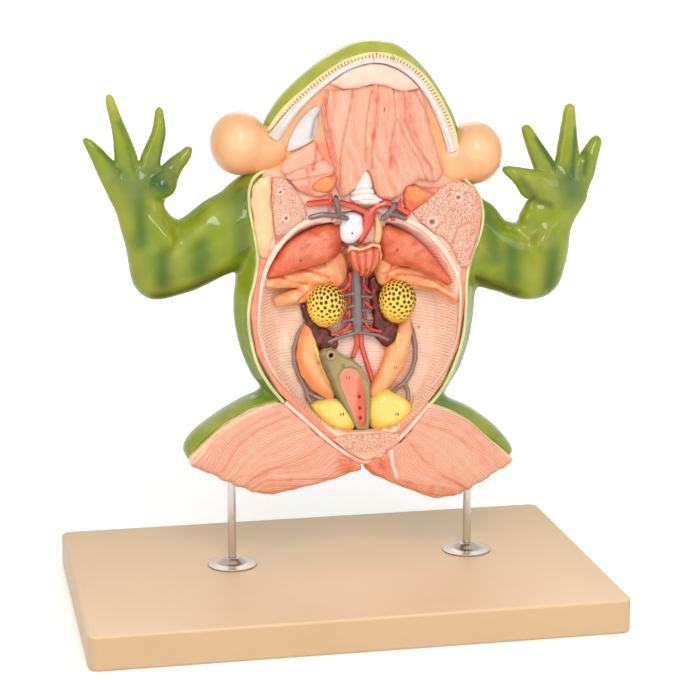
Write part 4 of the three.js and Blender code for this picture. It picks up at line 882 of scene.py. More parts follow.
def swept(points, width, thickness, y):
    """A strip along a smooth path of (x, z) or (x, y, z) points, its half width one value or a list."""
    widths = width if isinstance(width, list) else [width] * len(points)
    bpy.ops.curve.primitive_bezier_curve_add(location=(0, 0, 0))
    line = bpy.context.object
    spline = line.data.splines[0]
    spline.bezier_points.add(len(points) - 2)
    for knot, place, half in zip(spline.bezier_points, points, widths):
        x, z = place[0], place[-1]
        deep = place[1] if len(place) == 3 else 0
        knot.co = (x * MM, deep * MM, z * MM)
        knot.radius = half
        knot.handle_left_type = "AUTO"
        knot.handle_right_type = "AUTO"
    line.data.bevel_depth = MM
    line.data.bevel_resolution = 5
    line.data.resolution_u = 12
    line.data.use_fill_caps = True
    bpy.ops.object.convert(target="MESH")
    line = bpy.context.object
    line.scale.y = thickness
    line.location.y = y * MM
    settled(line)
    even_grid(merged(line), STRIP_GRID)
    relaxed(line, 4)
    return line


def streaks(across, along, start, end, share, shift=0.0):
    """A mask of soft stripes, by how fast their wave runs across and up the front."""
    return lambda x, y, z: share * ease(np.sin(x * across + z * along + shift), start, end)


smooth_flesh = hand_painted("smooth_flesh", 0.4, 0.25, mottle=0.35)
for side, line in SKIN_EDGES.items():
    finished(
        swept(line, 1.25, 0.8, CUT_FACE), f"{side}_cut_edge_of_skin", "frog", "gum_yellow", smooth_flesh,
        None, "#E6E5A6", [("#A9AE4A", sunk(-5.6, -4.6)), ("#D3D79C", streaks(0, 0.13, 0, 1, 0.8))],
    )

# Cut edge of chest and pelvis
# Raised cream bands that frame the belly, moulded on the cut face and left smooth.
ARCHES = {
    "left": (
        [(-33, 0.5, 158.5), (-40, 0.5, 166.5), (-46.3, 0.5, 175.5), (-50.5, 0.5, 185), (-53.5, 0.5, 195),
         (-55, 0.5, 205), (-54.7, 0.4, 215), (-53.6, 0.2, 227), (-50.5, 0, 243), (-44.5, 0, 257),
         (-35, 0, 270), (-23, 0, 279), (-10, 0, 282.5), (1, 0, 282.5)],
        [0.5, 0.65, 0.7, 0.7, 0.75, 0.8, 0.95, 1.1, 1.6, 2.1, 2.3, 2.2, 1.9, 1.5],
    ),
    "right": (
        [(39, 0, 282.3), (52, 0, 279.5), (65, 0, 272.5), (77, 0, 260.5), (86, 0, 247.5), (91, 0.1, 235),
         (92.8, 0.3, 222), (92.6, 0.5, 212), (91.9, 0.5, 200), (90, 0.5, 190), (87, 0.5, 180),
         (83, 0.5, 172), (77, 0.5, 163), (71, 0.5, 156)],
        [1.5, 1.9, 2.2, 2.3, 2.1, 1.5, 1.1, 0.9, 0.8, 0.75, 0.7, 0.7, 0.65, 0.5],
    ),
}
for side, (line, widths) in ARCHES.items():
    finished(
        swept(line, widths, 0.75, -6), f"{side}_chest_arch", "frog", "pale_flesh", smooth_flesh,
        f"{side}_arch", "#FBE6D2", [("#F6BBA0", sunk(-6.4, -5.4))],
    )
PELVIC_LINE = [(-36, 150), (-22, 137), (-5, 120.5), (11, 108), (24, 102.5), (38, 110.5), (53, 124), (71, 144)]
PELVIC_WIDTHS = [2.1, 2.3, 2.3, 2.0, 1.8, 2.0, 2.3, 2.1]
finished(
    swept(PELVIC_LINE, PELVIC_WIDTHS, 1.1, -4.8), "pelvic_edge", "frog", "pale_flesh", smooth_flesh,
    "pelvic_band", "#FCEBDD",
    [
        ("#D9A184", patch(18, 105, 14, 7, 0.6)),
        ("#F3AC90", lambda x, y, z: 0.9 * ease(off_line(x, z, *PELVIC_LINE), 0.7, 1.3)),
    ],
)

# Thigh muscles
# The fronts of the thighs are carved as bare muscle: long strands that follow the outline, paler
# than the flesh between them, with a cream edge towards the skin and orange near the crotch.
muscle_paint = hand_painted("muscle_paint", 0.42, 0.25, mottle=0.45, dark="#EC9474", light="#FFE0C8")
THIGH_LINES = {
    "left": [
        (0, [(-114, 104), (-106, 112), (-90, 127), (-70, 140), (-38, 151), (-12, 154), (14, 150)]),
        (13, [(-92, 86), (-82, 102), (-72, 119), (-55, 132), (-34, 140), (-8, 137), (14, 128)]),
        (35, [(-76, 86), (-63, 94.5), (-40, 104), (-19, 111), (-9, 119), (8, 118)]),
        (48, [(-66, 82), (-59, 88), (-51, 93), (-40, 93.5), (-5, 92), (14, 97)]),
        (57, [(-52, 78), (-30, 82), (0, 84)]),
    ],
    "right": [
        (0, [(56, 148), (72, 143.5), (85, 139), (100, 131), (115, 118), (125, 108), (136, 96)]),
        (13, [(55, 134), (67, 129), (84, 123), (95, 115), (104, 106), (116, 92), (122, 82)]),
        (36, [(50, 124), (56, 115), (64, 104), (80, 90), (98, 79), (106, 72)]),
        (50, [(38, 112), (42, 100), (51, 88), (69, 82), (94, 75)]),
        (60, [(27, 102), (42, 86), (65, 75), (83, 70)]),
    ],
}
CREASES = {
    "left": [[(-34, 140), (-55, 132), (-72, 119), (-82, 102)],
             [(-6, 120), (-9, 119), (-19, 111), (-40, 104), (-63, 94.5)],
             [(-5, 92), (-28, 92.5), (-51, 93.5), (-60, 88)]],
    "right": [[(67, 129), (84, 123), (95, 115), (101, 108)],
              [(56, 115), (64, 104), (80, 90), (98, 79)],
              [(51, 87), (69, 82.5), (94, 77)]],
}
STRAND_MM = 1.4
TENDON_LINE = [(41, 111), (42, 101), (45.5, 91)]
KNOT_UNIT = 50


def along_lines(x, z, lines):
    """A smooth field over the front that keeps each line's own value all along that line."""
    knots = np.array([point for _, line in lines for point in line], float) / KNOT_UNIT
    values = np.array([value for value, line in lines for _ in line], float)

    def bend(a, b):
        square = ((a[:, None] - b[None]) ** 2).sum(2) + 1e-9
        return square * np.log(square)

    count = len(knots)
    plane = np.hstack([np.ones((count, 1)), knots])
    system = np.zeros((count + 3, count + 3))
    system[:count, :count] = bend(knots, knots)
    system[:count, count:] = plane
    system[count:, :count] = plane.T
    weights = np.linalg.solve(system, np.append(values, [0, 0, 0]))
    places = np.stack([x, z], 1) / KNOT_UNIT
    return bend(places, knots) @ weights[:count] + weights[count] + places @ weights[count + 1 :]


def creased(x, z, lines, width):
    """1 on each of several lines over the front, and 0 away from them."""
    return np.minimum(sum(bell(off_line(x, z, *line), width) for line in lines), 1)


for side, crotch, reach in (("left", (14, 103), 5), ("right", (32, 98), -4)):

    def across_strands(x, z):
        return along_lines(x, z, THIGH_LINES[side])

    def crease(x, z):
        return creased(x, z, CREASES[side], 1.0)

    def carving(x, y, z):
        deep = across_strands(x, z)
        front = ease(-y, 0.5, 3.2)
        return front * (0.5 * np.sin(deep * 0.42) + 0.2 * np.sin(deep * 1.3) - 0.7 * crease(x, z))

    def tendon(x, y, z):
        return bell(off_line(x, z, *TENDON_LINE), 1.2) if side == "right" else 0 * x

    thigh = moulded(f"{side}_thigh_muscle", 0.9, 10, grow=0.7, relief=carving)
    raised(thigh, lambda x, y, z: 0.6 * tendon(x, y, z))
    places, _ = points_of(thigh)
    inward = ease((places[:, 0] - crotch[0]) * reach, -14, 0) * ease(112 - places[:, 2], 0, 8)
    places[:, 0] += reach * inward
    put_points(thigh, places)
    finished(
        thigh, f"{side}_carved_thigh", "frog", "muscle", muscle_paint, f"{side}_thigh_muscle", "#F2AF93",
        [
            ("#F08E66", lambda x, y, z: 0.8 * ease(across_strands(x, z), 44, 56)),
            ("#EA7146", patch(*crotch, 15, 11, 0.85)),
            ("#EE8A62", lambda x, y, z: 0.75 * crease(x, z)),
            ("#F9C5A4", lambda x, y, z: 0.6 * bell(across_strands(x, z) - 22, 5)),
            ("#FCE0B4", lambda x, y, z: 0.9 * ease(1.7 - across_strands(x, z), 0, 0.8)),
            ("#E9B48C", sunk(-3.6, -2.2, 0.9)),
            ("#FAF1EC", tendon),
        ],
        strand=lambda x, y, z: across_strands(x, z) / STRAND_MM,
        cover=lambda x, y, z: 0.65 * (1 - tendon(x, y, z)) * ease(-y, 2.2, 3.6),
    )

# Jaw
# A yellow gum with small teeth ticked in brown runs along the inside of the skin, and a grey-white
# jaw bone inside it. The chin pad and the left jaw plate are smooth and pale.
TOOTH_MM = 2.6
GUM_LINE = [(-47, 345.5), (-36, 359), (-20, 372.8), (0, 387.3), (15, 394.3), (30, 396.6), (45, 393.5),
            (60, 384), (70, 372.5), (80, 355.5), (86, 341), (89, 329)]
JAW_LINE = [(-43.5, 340), (-33, 354), (-22, 365.5), (-8, 377.3), (8, 387.5), (29, 393), (45, 389.3),
            (58, 380.3), (68, 368), (76, 353.5), (82, 339), (85.5, 327.5)]
JAW_WIDTHS = [4.4, 3.4, 2.7, 2.3, 2.1, 2.1, 2.3, 2.5, 2.7, 3.0, 3.4, 3.7]


def along_gum(x, z):
    """How far along the gum line the nearest point of it to a place is, in mm."""
    best, reach, run = np.full_like(x, 1e9), np.zeros_like(x), 0
    for (ax, az), (bx, bz) in zip(GUM_LINE, GUM_LINE[1:]):
        length = math.hypot(bx - ax, bz - az)
        t = np.clip(((x - ax) * (bx - ax) + (z - az) * (bz - az)) / length**2, 0, 1)
        off = np.hypot(x - ax - t * (bx - ax), z - az - t * (bz - az))
        reach = np.where(off < best, run + t * length, reach)
        best = np.minimum(best, off)
        run += length
    return reach


def teeth(x, y, z):
    """1 on the brown ticks between the teeth, and 0 elsewhere."""
    tick = np.abs((along_gum(x, z) / TOOTH_MM) % 1 - 0.5) * 2
    inner = ease(off_line(x, z, *JAW_LINE), 5.6, 4.6)
    return (1 - ease(tick, 0.2, 0.42)) * ease(-y, 6.6, 7.4) * inner * ease(x, -44, -38) * ease(88 - x, 0, 6)


def stroke(line, width, share=1.0, off=0.0):
    """A mask for a soft line on the front, or for the lines beside it at a distance."""
    return lambda x, y, z: share * bell(off_line(x, z, *line) - off, width)


finished(
    swept(GUM_LINE, [1.4] + [2.2] * 10 + [1.6], 0.6, -6.4), "gum_with_teeth", "frog", "gum_yellow",
    hand_painted("gum_enamel", 0.42, 0.2, mottle=0.3), "jaw_rim", "#F9E4A6",
    [("#E6C680", sunk(-6.6, -5.6)), ("#9C6238", teeth)],
)
bone_enamel = hand_painted("bone_enamel", 0.32, 0.35, mottle=0.35)
finished(
    swept(JAW_LINE, JAW_WIDTHS, 0.62, -6.7), "jaw_bone_strip", "frog", "bone", bone_enamel, "jaw_bone",
    "#EDE9E4",
    [
        ("#CCC8CA", sunk(-7.2, -6)),
        # Grey lines along both edges of the bone are painted shade.
        ("#CFCBD0", stroke(JAW_LINE, 0.5, 0.8, off=1.7)),
        ("#DDD0BC", patch(-42, 342, 8, 9, 0.6)),
    ],
)
PLATE_GROOVE = [(-10, 357), (-14, 352), (-16, 340)]
organ(
    "left_jaw_plate", "left_jaw_plate_carved", "bone", bone_enamel, "#EAE7E4",
    [
        # The groove and the band beside it are painted grey, as painted shade.
        ("#9C9498", stroke(PLATE_GROOVE, 1.7, 0.8)),
        ("#C9C3C4", stroke([(-28, 350), (-20, 357), (-10, 361)], 3, 0.7)),
        ("#C4A99C", sunk(-7.0, -5.4)),
    ],
    grid=0.7, passes=10, grow=0.3, relief=stroke(PLATE_GROOVE, 1.6, -0.9),
)
organ(
    "chin_pad", "smooth_chin_pad", "pale_flesh", smooth_flesh, "#FBDDC8",
    # The lower part of the pad is painted darker, as painted shadow.
    [("#F6C3A8", sunk(-7.6, -5.6)), ("#F7CDB4", lambda x, y, z: 0.5 * ease(384 - z, 0, 10))],
    grid=0.8, passes=10, grow=0.4,
)

# Throat
# Broad flat muscles with fine upright fibres, carved with the grooves between them. Red bands run
# down among them, and the right side fans out towards the shoulder.
THROAT_GROOVES = [
    [(-5, 374), (-8, 360), (-5, 345), (0, 322)],
    [(13, 374), (8, 350), (3, 322), (3, 300)],
    [(26, 372), (23, 355), (21, 340), (22, 322)],
    [(31, 376), (29, 350), (26, 330), (26, 318)],
    [(42, 372), (43, 352), (40, 335), (39, 318)],
    [(49, 370), (50, 350), (56, 335), (70, 316)],
    [(58, 370), (66, 355), (72, 335), (80, 318)],
    [(44, 352), (52, 336), (60, 322), (66, 308)],
]
RED_BANDS = [
    ([(30.5, 376), (28.5, 350), (26, 330)], 1.8),
    ([(42, 335), (41, 325), (40, 317)], 2.2),
    ([(46, 335), (45, 325)], 1.0),
    ([(-7, 366), (-6, 345), (-2, 325)], 2.4),
    ([(52, 366), (53, 350), (60, 336)], 2.6),
    ([(76, 322), (79, 308), (72, 300)], 2.6),
]


def throat_strand(x, y, z):
    """The count of fibres up to a place; they spread towards the shoulders and sway a little."""
    middle = np.interp(z, [294, 320, 345, 376], [43, 38, 30, 27])
    half = np.interp(z, [294, 320, 345, 376], [44, 40, 36, 34])
    sway = 0.8 * np.sin(0.11 * z + 0.08 * x) + 0.45 * np.sin(0.27 * z - 0.19 * x + 1)
    return (x - middle) / half * 29 + sway


def evenly(share):
    """A mask of one share all over."""
    return lambda x, y, z: share + 0 * x


organ(
    "throat_muscles", "throat_muscles_carved", "muscle", muscle_paint, "#F3B093",
    [
        ("#FBCDB2", lambda x, y, z: 0.6 * ease(
            np.sin(throat_strand(x, y, z) * 1.15 + 2 * np.sin(z * 0.06)), 0.3, 1)),
        ("#EE8C6E", lambda x, y, z: 0.45 * ease(
            -np.sin(throat_strand(x, y, z) * 0.8 + 1.7 * np.sin(z * 0.08)), 0.4, 1)),
        ("#F7BE9C", patch(20, 352, 6, 25, 0.7)),
        ("#F9C8AC", patch(5, 352, 6, 26, 0.7)),
        ("#DD7358", lambda x, y, z: 0.75 * creased(x, z, THROAT_GROOVES, 0.9)),
    ] + [("#E9604A", stroke(band, wide, 0.5)) for band, wide in RED_BANDS],
    grid=0.7, passes=10, grow=0.4,
    relief=lambda x, y, z: ease(-y, 6, 8) * (
        0.7 * np.sin(throat_strand(x, y, z) * 0.72) - 1.1 * creased(x, z, THROAT_GROOVES, 0.9)
    ),
    strand=throat_strand,
    cover=evenly(0.7),
)

NECK_CREASES = [
    [(-36, 314), (-26, 318), (-14, 322), (-6, 326)],
    [(-33, 310), (-18, 312), (0, 315)],
    [(-32, 309), (-26, 302), (-16, 298)],
    [(-20, 318), (-18, 308)],
]
organ(
    "left_neck_muscle", "left_neck_muscle_carved", "muscle", muscle_paint, "#F8B99D",
    [
        ("#E0694E", lambda x, y, z: 0.7 * sum(bell(off_line(x, z, *line), 1.1) for line in NECK_CREASES)),
        ("#DF4F38", stroke([(-12.5, 338), (-14, 326), (-16, 318)], 1.5, 0.9)),
        ("#EA7458", patch(-22, 303, 12, 5, 0.7)),
    ],
    grid=0.7, passes=9, grow=0.35, relief=lambda x, y, z: -0.9 * creased(x, z, NECK_CREASES, 0.9),
    strand=lambda x, y, z: (z - 0.35 * x) / 1.5 + 0.5 * np.sin(0.3 * x),
    cover=evenly(0.6),
)

# Glands and larynx
# Two orange glands at the sides of the throat, and the white ringed cone of the larynx.
gland_paint = hand_painted("gland_paint", 0.34, 0.5, mottle=0.8)
DARK_FOLD = [(50, 306), (58, 304), (68, 300), (76, 295)]
for side, yellow_at in (("left", (-9, 307)), ("right", (60, 299))):
    organ(
        f"{side}_gland", f"{side}_throat_gland", "gland_orange", gland_paint, "#E97A4A",
        [
            ("#F3A05C", patch(*yellow_at, 9, 6, 0.8)),
            ("#EE9A7C", lambda x, y, z: 0.8 * ease(x, 62, 70)),
            ("#C8442A", stroke(DARK_FOLD, 1.2, 0.6)),
        ],
        grid=0.6, passes=8, grow=0.3,
        relief=lambda x, y, z: 0.25 * np.sin(x * 1.1 + np.sin(z * 0.9)) * np.sin(z * 1.2),
    )


def larynx_rings(x, y, z):
    bow = z + 0.02 * (x - 22) ** 2
    return sum(bell(bow - level, 0.7) for level in (296, 300.5, 304))


organ(
    "larynx", "ringed_larynx", "bone", bone_enamel, "#F7F3EC",
    [("#C4B4A6", lambda x, y, z: 0.45 * larynx_rings(x, y, z)), ("#D8CCC0", sunk(-8, -5.5))],
    grid=0.55, passes=6, grow=0.3, relief=lambda x, y, z: -0.7 * larynx_rings(x, y, z),
)

# Shoulders
# The cut shoulders show cream cartilage on the left and spongy sections on both sides, pitted all
# over, with the round ends of bones.
BONE_ENDS = {"left": [(-39, 302.5, 2.0), (-35, 284, 2.5)], "right": [(89.5, 295, 3.0), (70.5, 278, 4.0)]}
LOBE = [(86, 262), (89, 273), (98, 277), (104, 272), (103, 262), (98, 250)]
SHOULDER_CELLS = {"left": 610.0, "right": 440.0}
for side, ends in BONE_ENDS.items():

    def ring(x, z, scale):
        return sum(bell(np.hypot(x - a, z - b) - radius * scale, 0.6) for a, b, radius in ends)

    def marrow(x, z):
        return sum(1 - ease(np.hypot(x - a, z - b), 0.35 * r, 0.55 * r) for a, b, r in ends)

    def unpitted(x, z):
        plain = ring(x, z, 0.8) + marrow(x, z) + bell(off_line(x, z, *LOBE), 1.4)
        return np.minimum(plain, 1)

    spongy = hand_painted(
        f"spongy_{side}_shoulder", 0.45, 0.2, mottle=0.5, pores="#CC7E64", cells=SHOULDER_CELLS[side]
    )
    organ(
        f"{side}_shoulder_muscle", f"{side}_spongy_shoulder", "spongy_section", spongy, "#F8CDB6",
        [
            ("#D8705A", stroke(LOBE, 1.0, 0.85)),
            ("#F0A48C", sunk(-7.4, -5.6)),
            ("#E9694C", patch(-38, 270, 6, 3, 0.8)),
            ("#F7B49C", patch(104, 285, 5, 20, 0.6)),
            ("#F6E6D4", lambda x, y, z: ring(x, z, 0.9)),
            ("#8A5A42", lambda x, y, z: marrow(x, z)),
        ],
        grid=0.7, passes=9, grow=0.35,
        relief=lambda x, y, z: (
            0.6 * ring(x, z, 1) - 0.7 * bell(off_line(x, z, *LOBE), 0.9) - 0.8 * marrow(x, z)
        ),
        cover=lambda x, y, z: 0.85 * (1 - unpitted(x, z)),
    )
organ(
    "left_shoulder_cartilage", "left_shoulder_cartilage_smooth", "pale_flesh", smooth_flesh, "#FBD6A2",
    [("#F6BE8A", sunk(-8, -5.8)), ("#F9CB98", lambda x, y, z: 0.7 * ease(272 - z, 0, 12))],
    grid=0.8, passes=10, grow=0.5,
    relief=lambda x, y, z: 0.7 * np.sin(0.33 * z + 1.5 * np.sin(0.3 * x)) * np.sin(0.4 * x + 0.12 * z),
)

# Vocal sacs
# Two hollow peach balls puffed out behind the corners of the jaw. Each runs over into the neck
# without an edge, and is smooth and glossy.
sac_paint = hand_painted("sac_paint", 0.34, 0.4, mottle=0.12)
SAC_NECKS = {"left": ((-51, 3, 331), (23, 12, 17)), "right": ((90, 3, 319), (20, 12, 16))}


def ball(place, radii):
    """An oval ball of a place and three radii in mm, ready to be joined."""
    bpy.ops.mesh.primitive_uv_sphere_add(
        segments=64, ring_count=40, radius=MM, location=[value * MM for value in place], scale=radii
    )
    settled(bpy.context.object)
    return bpy.context.object


for side, neck_ball in SAC_NECKS.items():
    low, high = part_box(f"{side}_vocal_sac")
    middle = (low + high) / (2 * MM)
    sac = joined(ball(middle, (high - low) / (2 * MM)), ball(*neck_ball))
    even_grid(sac, 0.9)
    relaxed(sac, 40)
    raised(sac, evenly(0.5))
    finished(
        sac, f"{side}_puffed_sac", "frog", "sac_peach", sac_paint, f"{side}_vocal_sac", "#F9BC88",
        [
            # Painted shade darkens each sac towards its lower side, and a painted highlight lies above its
            # middle.
            ("#F19A62", lambda x, y, z: 0.85 * ease((x - middle.x) * 0.35 - (z - middle.z), 6, 24)),
            ("#FBCF9C", patch(middle.x - 2, middle.z + 6, 11, 10, 0.7)),
        ],
    )

# Pelvic symphysis
# The cut through the joined pelvis: cream bone below, spongy and finely pitted above.
organ(
    "pelvic_symphysis", "spongy_symphysis", "spongy_section",
    hand_painted("spongy_pelvis_paint", 0.45, 0.2, mottle=0.5, pores="#D5866C"), "#FACBB0",
    [("#F8D3B2", lambda x, y, z: ease(112 - 0.012 * (x - 25) ** 2 - z, -2, 5))],
    grid=0.7, passes=8, grow=0.35,
    cover=lambda x, y, z: 0.9 * ease(z + 0.012 * (x - 25) ** 2, 105, 112),
)

# Heart
# A ribbed red-orange cone that pulls off its peg. Its wavy cream upper edge stands out as a
# raised line and runs on down both sides.
heart_low, heart_high = (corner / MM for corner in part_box("heart"))
heart_middle = (heart_low + heart_high) / 2
HEART_CROWN = [
    (9, 252), (8.6, 258), (11, 262), (17, 260.5), (21, 261), (26, 263.5), (31, 262.5),
    (33.4, 258), (33.6, 250),
]


def heart_folds(x, z):
    """The wave of the ribs over the heart, which fan out upwards."""
    return np.cos((x - heart_middle.x) / (6 + 7 * ease(z, 236, 262)) * 13)


def heart_rim(x, y, z):
    return bell(off_line(x, z, *HEART_CROWN), 0.85) * ease(-y, -2, 2)


organ(
    "heart", "ribbed_heart", "heart_red", hand_painted("heart_paint", 0.22, 0.9, mottle=0.7), "#E8683C",
    [
        # Painted shade in the grooves between the ribs, and a painted highlight on the ribs.
        ("#C23C22", lambda x, y, z: 0.8 * ease(heart_folds(x, z), 0.45, 1)),
        ("#F4A684", lambda x, y, z: 0.5 * ease(-heart_folds(x, z), 0.4, 1)),
        ("#FCE6B2", heart_rim),
        ("#B9542E", stroke(HEART_CROWN, 0.5, 0.7, off=1.7)),
    ],
    grid=0.5, passes=14, grow=0.5, body="heart",
    relief=lambda x, y, z: 0.8 * heart_rim(x, y, z) - 0.55 * ease(heart_folds(x, z), 0.4, 1),
)

# Great vessels
# Red arteries and grey veins are moulded tubes with cut ends, painted and varnished; the atrium
# is a smooth bluish white bean, and the oesophagus shows cream beside it.
organ(
    "atrium", "smooth_atrium", "atrium_white", hand_painted("atrium_enamel", 0.2, 0.8, mottle=0.15),
    # Its deeper sides are painted bluish grey, as painted shade.
    "#EDF3F6", [("#C3D3DC", sunk(-5, 0, 0.8))],
    grid=0.5, passes=14, grow=1.3,
    relief=lambda x, y, z: 1.8 * ease(z, 276, 283) + 0.8 * ease(x, 14, 19),
)
organ(
    "oesophagus", "oesophagus_smooth", "pale_flesh", smooth_flesh, "#F7C994",
    [("#EFAE72", lambda x, y, z: ease(x, 33, 36))], grid=0.55, passes=8, grow=0.4,
)
vessel_paint = hand_painted("vessel_paint", 0.24, 0.8, mottle=0.5)
CUT_VEINS = [(0, 299.5), (43.5, 292.5)]


def vein_ends(x, y, z):
    return sum(1 - ease(np.hypot(x - a, z - b), 1.2, 1.9) for a, b in CUT_VEINS)


# The last colour of each row is a painted highlight for the side of the tube that faces the lamps.
VESSELS = {
    "arterial_trunk": ("branched_arterial_trunk", "artery_red", 0.3, "#DE412B", "#F27E62"),
    "dorsal_aorta": ("branched_dorsal_aorta", "artery_red", 0.6, "#E0442F", "#F47E62"),
    "left_brachial_vein": ("left_cut_vein", "vein_grey", 0.6, "#77605C", "#8E7874"),
    "right_brachial_vein": ("right_cut_vein", "vein_grey", 0.6, "#77605C", "#8E7874"),
    "vena_cava": ("laddered_vena_cava", "vein_grey", 0.45, "#77696A", "#94888A"),
    "left_lateral_vein": ("left_looped_vein", "vein_grey", 0.65, "#87706A", "#A28C86"),
    "right_lateral_vein": ("right_looped_vein", "vein_grey", 0.65, "#87706A", "#A28C86"),
}
for node, (name, slot, grow, color, lit) in VESSELS.items():
    vessel = moulded(node, 0.42, 6, grow=grow)
    if node == "vena_cava":
        raised(vessel, lambda x, y, z: 0.7 * ease(6 - np.abs(x - 20), 0, 2) * ease(z, 199, 203))
    _, facing = points_of(vessel)
    finished(
        vessel, name, "frog", slot, vessel_paint, node, color,
        [
            # Painted highlight on the side turned towards the lamps.
            (lit, lambda x, y, z: 0.8 * ease(-facing[:, 1] * 0.8 - facing[:, 0] * 0.4, 0.5, 1)),
            ("#3A2A2C", vein_ends),
        ],
    )

# Small arteries and adrenal glands
# Thin red tubes beside the veins and the big artery, and a yellow strip on each kidney; all are
# laid on by hand and have no joints.
SMALL_ARTERIES = [
    ("left_neck_artery", [(-3.5, -9, 289), (-3.5, -9.5, 295), (-3, -9, 300.5)], 1.4),
    ("left_vein_stub", [(-2, -8.5, 283.6), (-1.5, -9, 281.5)], 1.4),
    ("right_neck_artery", [(44, -8.5, 289), (46.5, -9.5, 292.5), (48.5, -9, 295.5)], 1.5),
    ("right_vein_stub", [(41.5, -8.5, 282), (42, -9, 279.5)], 1.7),
    ("left_root_artery", [(7, 11, 226.5), (11, 10.5, 228.5), (14, 10, 232.5), (14.6, 10, 241)], 1.7),
    ("left_rib_artery_high", [(13.6, 12.5, 222), (10.5, 12.5, 219.5), (8.5, 12.5, 216)], 1.3),
    ("left_rib_artery_low", [(14, 12.5, 212), (12, 12.5, 208), (10.5, 12.5, 205.5)], 1.3),
    ("right_rib_artery_high", [(24.5, 12, 231), (27.5, 11, 226.5), (32, 10, 224)], 1.3),
    ("right_rib_artery_low", [(25.5, 12, 219), (29, 11, 214.5), (33.5, 10, 212.5)], 1.3),
    ("left_kidney_artery", [(15, 9.5, 203), (12, 8.5, 199.5), (6, 7.5, 197), (0, 7, 195.5)], 1.3),
    ("right_kidney_artery", [(25.5, 9.5, 203.5), (29, 8.5, 199), (34, 7.5, 197), (40, 7, 196)], 1.2),
]
for name, line, radius in SMALL_ARTERIES:
    finished(
        swept(line, radius, 1.0, 0), name, "frog", "artery_red", vessel_paint, None, "#DE3F2C",
        [("#F0765A", streaks(0.5, 0.9, 0, 1, 0.6))],
    )
ADRENALS = {
    "left": (
        [(-14, 9, 196.5), (-12.6, 8.5, 190), (-10, 8.5, 182), (-6.4, 9, 172.5), (-2, 9.5, 161),
         (1.5, 10, 153)],
        [1.0, 2.0, 1.8, 1.6, 1.6, 1.0],
    ),
    "right": ([(50, 6.5, 195), (49.6, 6, 190.5), (47.6, 6.5, 184.5)], [1.2, 2.0, 1.3]),
}
adrenal_paint = hand_painted("adrenal_paint", 0.34, 0.3, mottle=0.5)
for side, (line, widths) in ADRENALS.items():
    finished(
        swept(line, widths, 1.0, 0), f"{side}_adrenal_strip", "frog", "ovary_yellow", adrenal_paint, None,
        "#FBD980", [("#E9A850", streaks(1.0, 0.7, 0.2, 1, 0.7))],
    )

# Lungs
# Red-orange bags with a shallow dimpled surface, darker towards the heart.
lung_paint = hand_painted("lung_paint", 0.34, 0.35, mottle=0.8, pores="#DE6A48", cells=600.0)
for side, outward, inner_edge in (("left", -1, -6), ("right", 1, 40)):
    organ(
        f"{side}_lung", f"{side}_dimpled_lung", "lung_red", lung_paint, "#F07C54",
        [
            ("#F8A07C", patch(22 + outward * 42, 262, 20, 10, 0.7)),
            ("#C8502F", lambda x, y, z: 0.55 * ease(
                np.sin(0.31 * x + 1.8 * np.sin(0.23 * z)) * np.sin(0.4 * z), 0.2, 0.9)),
            ("#B93A1E", lambda x, y, z: 0.8 * ease(outward * (inner_edge - x), 0, 9)),
            ("#CC4A2A", sunk(-3, 3, 0.8)),
        ],
        grid=0.7, passes=14, grow=0.6,
        relief=lambda x, y, z: (
            0.15 * np.sin(x * 0.9 + 1.7 * np.sin(z * 0.5)) * np.sin(z * 1.1 + np.sin(x * 0.4))
        ),
        cover=evenly(0.6),
    )

# Fat bodies
# Orange fat in soft finger lobes that overlap each other, with red-brown creases between them.
fat_paint = hand_painted("fat_paint", 0.32, 0.4, mottle=0.5)
FAT_CREASES = {
    "left": [[(-48, 240), (-38, 241), (-28, 236), (-18, 234)], [(-42, 226), (-30, 231), (-20, 229)],
             [(-44, 246), (-30, 245), (-14, 243), (-2, 238)], [(-24, 222), (-12, 232), (0, 234)]],
    "right": [[(86, 226), (74, 234), (60, 238), (48, 238)], [(80, 240), (66, 243), (50, 244), (38, 240)],
              [(88, 220), (76, 227), (64, 229)], [(44, 246), (40, 236)]],
}
FAT_ROOTS = {"left": ((3.5, 8, 246), (7.5, 6, 15)), "right": ((39, 8, 244), (5.5, 6, 13))}
for side, creases in FAT_CREASES.items():

    def crease(x, z):
        return creased(x, z, creases, 1.1)

    fat = joined(welded_copy(f"{side}_fat_body"), ball(*FAT_ROOTS[side]))
    even_grid(fat, 0.7)
    relaxed(fat, 14)
    raised(fat, lambda x, y, z: 1.5 - 0.9 * crease(x, z))
    finished(
        fat, f"{side}_lobed_fat", "frog", "fat_orange", fat_paint, f"{side}_fat_body", "#FBB27C",
        [
            ("#FDD3A4", streaks(0.33, 0.55, 0.2, 1, 0.8)),
            ("#F79A5E", streaks(0.29, -0.4, 0.3, 1, 0.6, shift=1.0)),
            ("#E8743A", lambda x, y, z: 0.7 * crease(x, z)),
            ("#F08A50", patch(7, 244, 8, 13, 0.6)),
            ("#FDCB9C", lambda x, y, z: 0.6 * ease(np.sin(1.1 * x + 0.35 * z), 0.5, 1) * spot(
                x, z, 2, 246, 12, 14)),
        ],
    )

